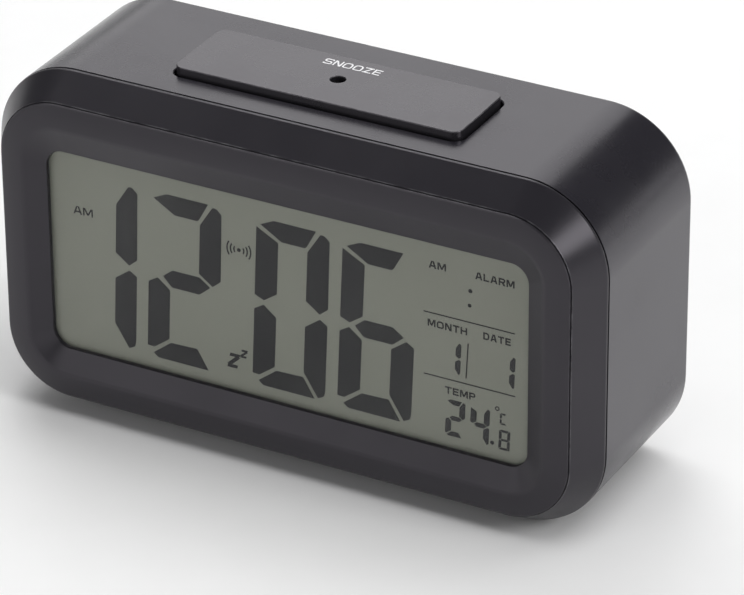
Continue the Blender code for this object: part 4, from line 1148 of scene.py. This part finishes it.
def rear_keys():
    """Five round keys with a flange inside and a dished top, and the ribbed knob of the slide switch."""
    for key, (x, z) in zip(KEYS, key_places()):
        low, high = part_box(key + "_button")
        flange = (high.x - low.x) / 2
        cap = flange - MM
        long = high.y - low.y
        step = 0.7 * MM
        rounding = 0.4 * MM
        dish = 0.12 * MM
        profile = [
            (0.0, 0.0),
            (flange, 0.0),
            (flange, step),
            (cap, step),
            *arc((cap - rounding, long - rounding), rounding, 0, 90, 5),
            (cap * 0.55, long - dish * 0.7),
            (cap * 0.25, long - dish * 0.95),
            (0.0, long - dish),
        ]
        shape = turned(profile, (x, low.y, z), (0, 1, 0))
        finished(key + "_button_cap", shape, key + "_key", KEY_BLACK, [key + "_button"])
    low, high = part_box("light_switch_knob")
    bm = block((low.x, high.x), (low.y, high.y), (low.z, high.z), 0.22 * MM, 3)
    grips = [
        block((x - 0.18 * MM, x + 0.18 * MM), (high.y - 0.3 * MM, high.y + MM), (low.z - MM, high.z + MM))
        for x in [low.x + (high.x - low.x) * part for part in (0.25, 0.5, 0.75)]
    ]
    shape = carved(bm, ("DIFFERENCE", merged(*grips)))
    finished("light_switch_slider", shape, "light_switch", KEY_BLACK, ["light_switch_knob"])


def battery_door():
    """A plate with two hooks at its foot, a latch tongue between two slits and three finger ribs."""
    inner = INNER_BACK + SEAT
    bm = block((DOOR_LOW.x, DOOR_HIGH.x), (inner, BACK), (DOOR_FOOT, DOOR_HIGH.z), 0.25 * MM, 3)
    tab_back = INNER_BACK - SEAT
    necks, tabs = [], []
    for x in HOOKS_X:
        wide = (x - 3 * MM, x + 3 * MM)
        neck_z = (DOOR_FOOT + 0.3 * MM, DOOR_FOOT + 1.2 * MM)
        necks.append(block(wide, (tab_back - MM, inner + 0.6 * MM), neck_z))
        narrow = (wide[0] + 0.05 * MM, wide[1] - 0.05 * MM)
        tabs.append(block(narrow, (tab_back - 0.95 * MM, tab_back), (DOOR_LOW.z, DOOR_FOOT + 0.8 * MM)))
    slits = [
        block((x - 0.4 * MM, x + 0.4 * MM), (inner - MM, BACK + MM), (DOOR_HIGH.z - 8 * MM, DOOR_HIGH.z + MM))
        for x in (-6 * MM, 6 * MM)
    ]
    grips = [
        block((-4 * MM, 4 * MM), (BACK - 0.4 * MM, BACK + MM), (z - 0.35 * MM, z + 0.35 * MM))
        for z in (DOOR_HIGH.z - 2.0 * MM, DOOR_HIGH.z - 3.6 * MM, DOOR_HIGH.z - 5.2 * MM)
    ]
    cuts = ("DIFFERENCE", merged(*slits, *grips))
    shape = carved(bm, ("UNION", merged(*necks)), ("UNION", merged(*tabs)), cuts)
    finished("battery_door_panel", shape, "door", CASING_BLACK, ["battery_door"])


# Finishes of the nodes that keep their own mesh


# Plain finishes: colour, roughness, grain, depth of grain in millimetres, spread of tone
PLAIN = {
    "guide_acrylic": (rgb(226, 228, 224), 0.3, 900.0, 0.01, 1.05),
    "holder_plastic": (rgb(222, 222, 218), 0.5, 2400.0, 0.02, 1.05),
    "epoxy": (rgb(22, 22, 23), 0.25, 1800.0, 0.02, 1.4),
    "zebra_rubber": (rgb(150, 112, 112), 0.7, 2200.0, 0.03, 1.2),
    "cable_jacket": (rgb(150, 150, 154), 0.5, 2000.0, 0.02, 1.15),
    "red_insulation": (rgb(190, 34, 26), 0.42, 1500.0, 0.02, 1.15),
    "black_insulation": (rgb(30, 30, 31), 0.42, 1500.0, 0.02, 1.3),
    "lamp_resin": (rgb(214, 176, 96), 0.18, 1200.0, 0.005, 1.1, 0.4),
    "switch_plastic": (rgb(30, 30, 31), 0.5, 2600.0, 0.02, 1.3),
}


def dress_frame():
    finishes = {name: tinted(name, *look) for name, look in PLAIN.items()}
    finishes |= {
        "lcd_glass": lcd_ground(),
        "board_laminate": board_laminate(),
        "steel": nickel_steel(),
        "cell_jacket": cell_jacket(),
        "key_plastic": KEY_BLACK,
        "casing_plastic": CASING_BLACK,
        "bezel_plastic": BEZEL_BLACK,
        "bar_plastic": BAR_BLACK,
        "foot_rubber": FOOT_BLACK,
    }
    slots = {entry["node"]: entry["material_slot"] for entry in frame["record"]["subparts"]}
    for name, node in frame["nodes"].items():
        finish = finishes.get(slots[name])
        if finish is not None:
            node.data.materials.clear()
            node.data.materials.append(finish)


# Studio


def studio():
    """A white floor, a pale surrounding and five softboxes."""
    bm = bmesh.new()
    bmesh.ops.create_grid(bm, x_segments=1, y_segments=1, size=4.0)
    floor = held("studio_floor", bm)
    finish = Finish("floor_white", 0.9)
    grain = finish.noise(60.0, 2.0)
    shade = finish.blended(grain, rgb(246, 246, 246), rgb(250, 250, 250))
    floor.data.materials.append(finish.set(base_color=shade, specular_ior_level=0.0))
    surroundings()
    panel("back_panel", (-0.62, 1.15, 0.78), (1.15, 0.9), 1.3)
    panel("top_strip", (-0.55, 0.55, 1.2), (0.9, 0.28), 5.5)
    panel("right_softbox", (1.25, -0.08, 0.82), (0.6, 0.6), 6.0)
    panel("front_panel", (-0.72, -1.3, 0.6), (1.2, 0.8), 1.2)
    panel("overhead_fill", (0.35, 0.1, 1.6), (1.6, 1.6), 2.1, shown=False)


def surroundings():
    """A pale studio: bright at the horizon, dimmer above."""
    world = bpy.data.worlds.new("studio_world")
    bpy.context.scene.world = world
    world.use_nodes = True
    tree = world.node_tree
    way = tree.nodes.new("ShaderNodeTexCoord")
    axes = tree.nodes.new("ShaderNodeSeparateXYZ")
    fall = tree.nodes.new("ShaderNodeMapRange")
    fall.interpolation_type = "SMOOTHSTEP"
    for socket, value in (("From Min", 0.02), ("From Max", 0.2), ("To Min", 1.0), ("To Max", 0.12)):
        fall.inputs[socket].default_value = value
    tree.links.new(way.outputs["Generated"], axes.inputs[0])
    tree.links.new(axes.outputs["Z"], fall.inputs["Value"])
    tree.links.new(fall.outputs[0], tree.nodes["Background"].inputs["Strength"])
    tree.nodes["Background"].inputs["Color"].default_value = (1.0, 1.0, 1.0, 1.0)


def panel(name, place, size, radiance, shown=True):
    """A rectangular softbox aimed at the clock, set by how bright its face looks."""
    light = bpy.data.lights.new(name, "AREA")
    light.shape = "RECTANGLE"
    light.size, light.size_y = size
    light.energy = radiance * math.pi * size[0] * size[1]
    lamp = bpy.data.objects.new(name, light)
    lamp.location = place
    aim = Vector((0.0, 0.0, 0.04)) - Vector(place)
    lamp.rotation_mode = "QUATERNION"
    lamp.rotation_quaternion = aim.to_track_quat("-Z", "Y")
    lamp.visible_glossy = shown
    bpy.context.scene.collection.objects.link(lamp)


def camera():
    data = bpy.data.cameras.new("camera")
    data.lens = CAMERA_LENS
    data.sensor_width = 36.0
    data.clip_start, data.clip_end = 0.01, 20.0
    made = bpy.data.objects.new("camera", data)
    level, rise = math.cos(CAMERA_ELEVATION), math.sin(CAMERA_ELEVATION)
    back = Vector((math.sin(CAMERA_AZIMUTH) * level, -math.cos(CAMERA_AZIMUTH) * level, rise))
    made.location = CAMERA_AIM + back * CAMERA_DISTANCE
    made.rotation_mode = "QUATERNION"
    made.rotation_quaternion = (-back).to_track_quat("-Z", "Y") @ Quaternion((0, 0, 1), CAMERA_ROLL)
    bpy.context.scene.collection.objects.link(made)
    bpy.context.scene.camera = made


camera()
dress_frame()
rear_casing()
front_bezel()
feet()
snooze_bar()
bar_label()
display()
display_window()
rear_keys()
key_legends()
battery_door()
studio()
bpy.context.scene.view_settings.view_transform = "Standard"
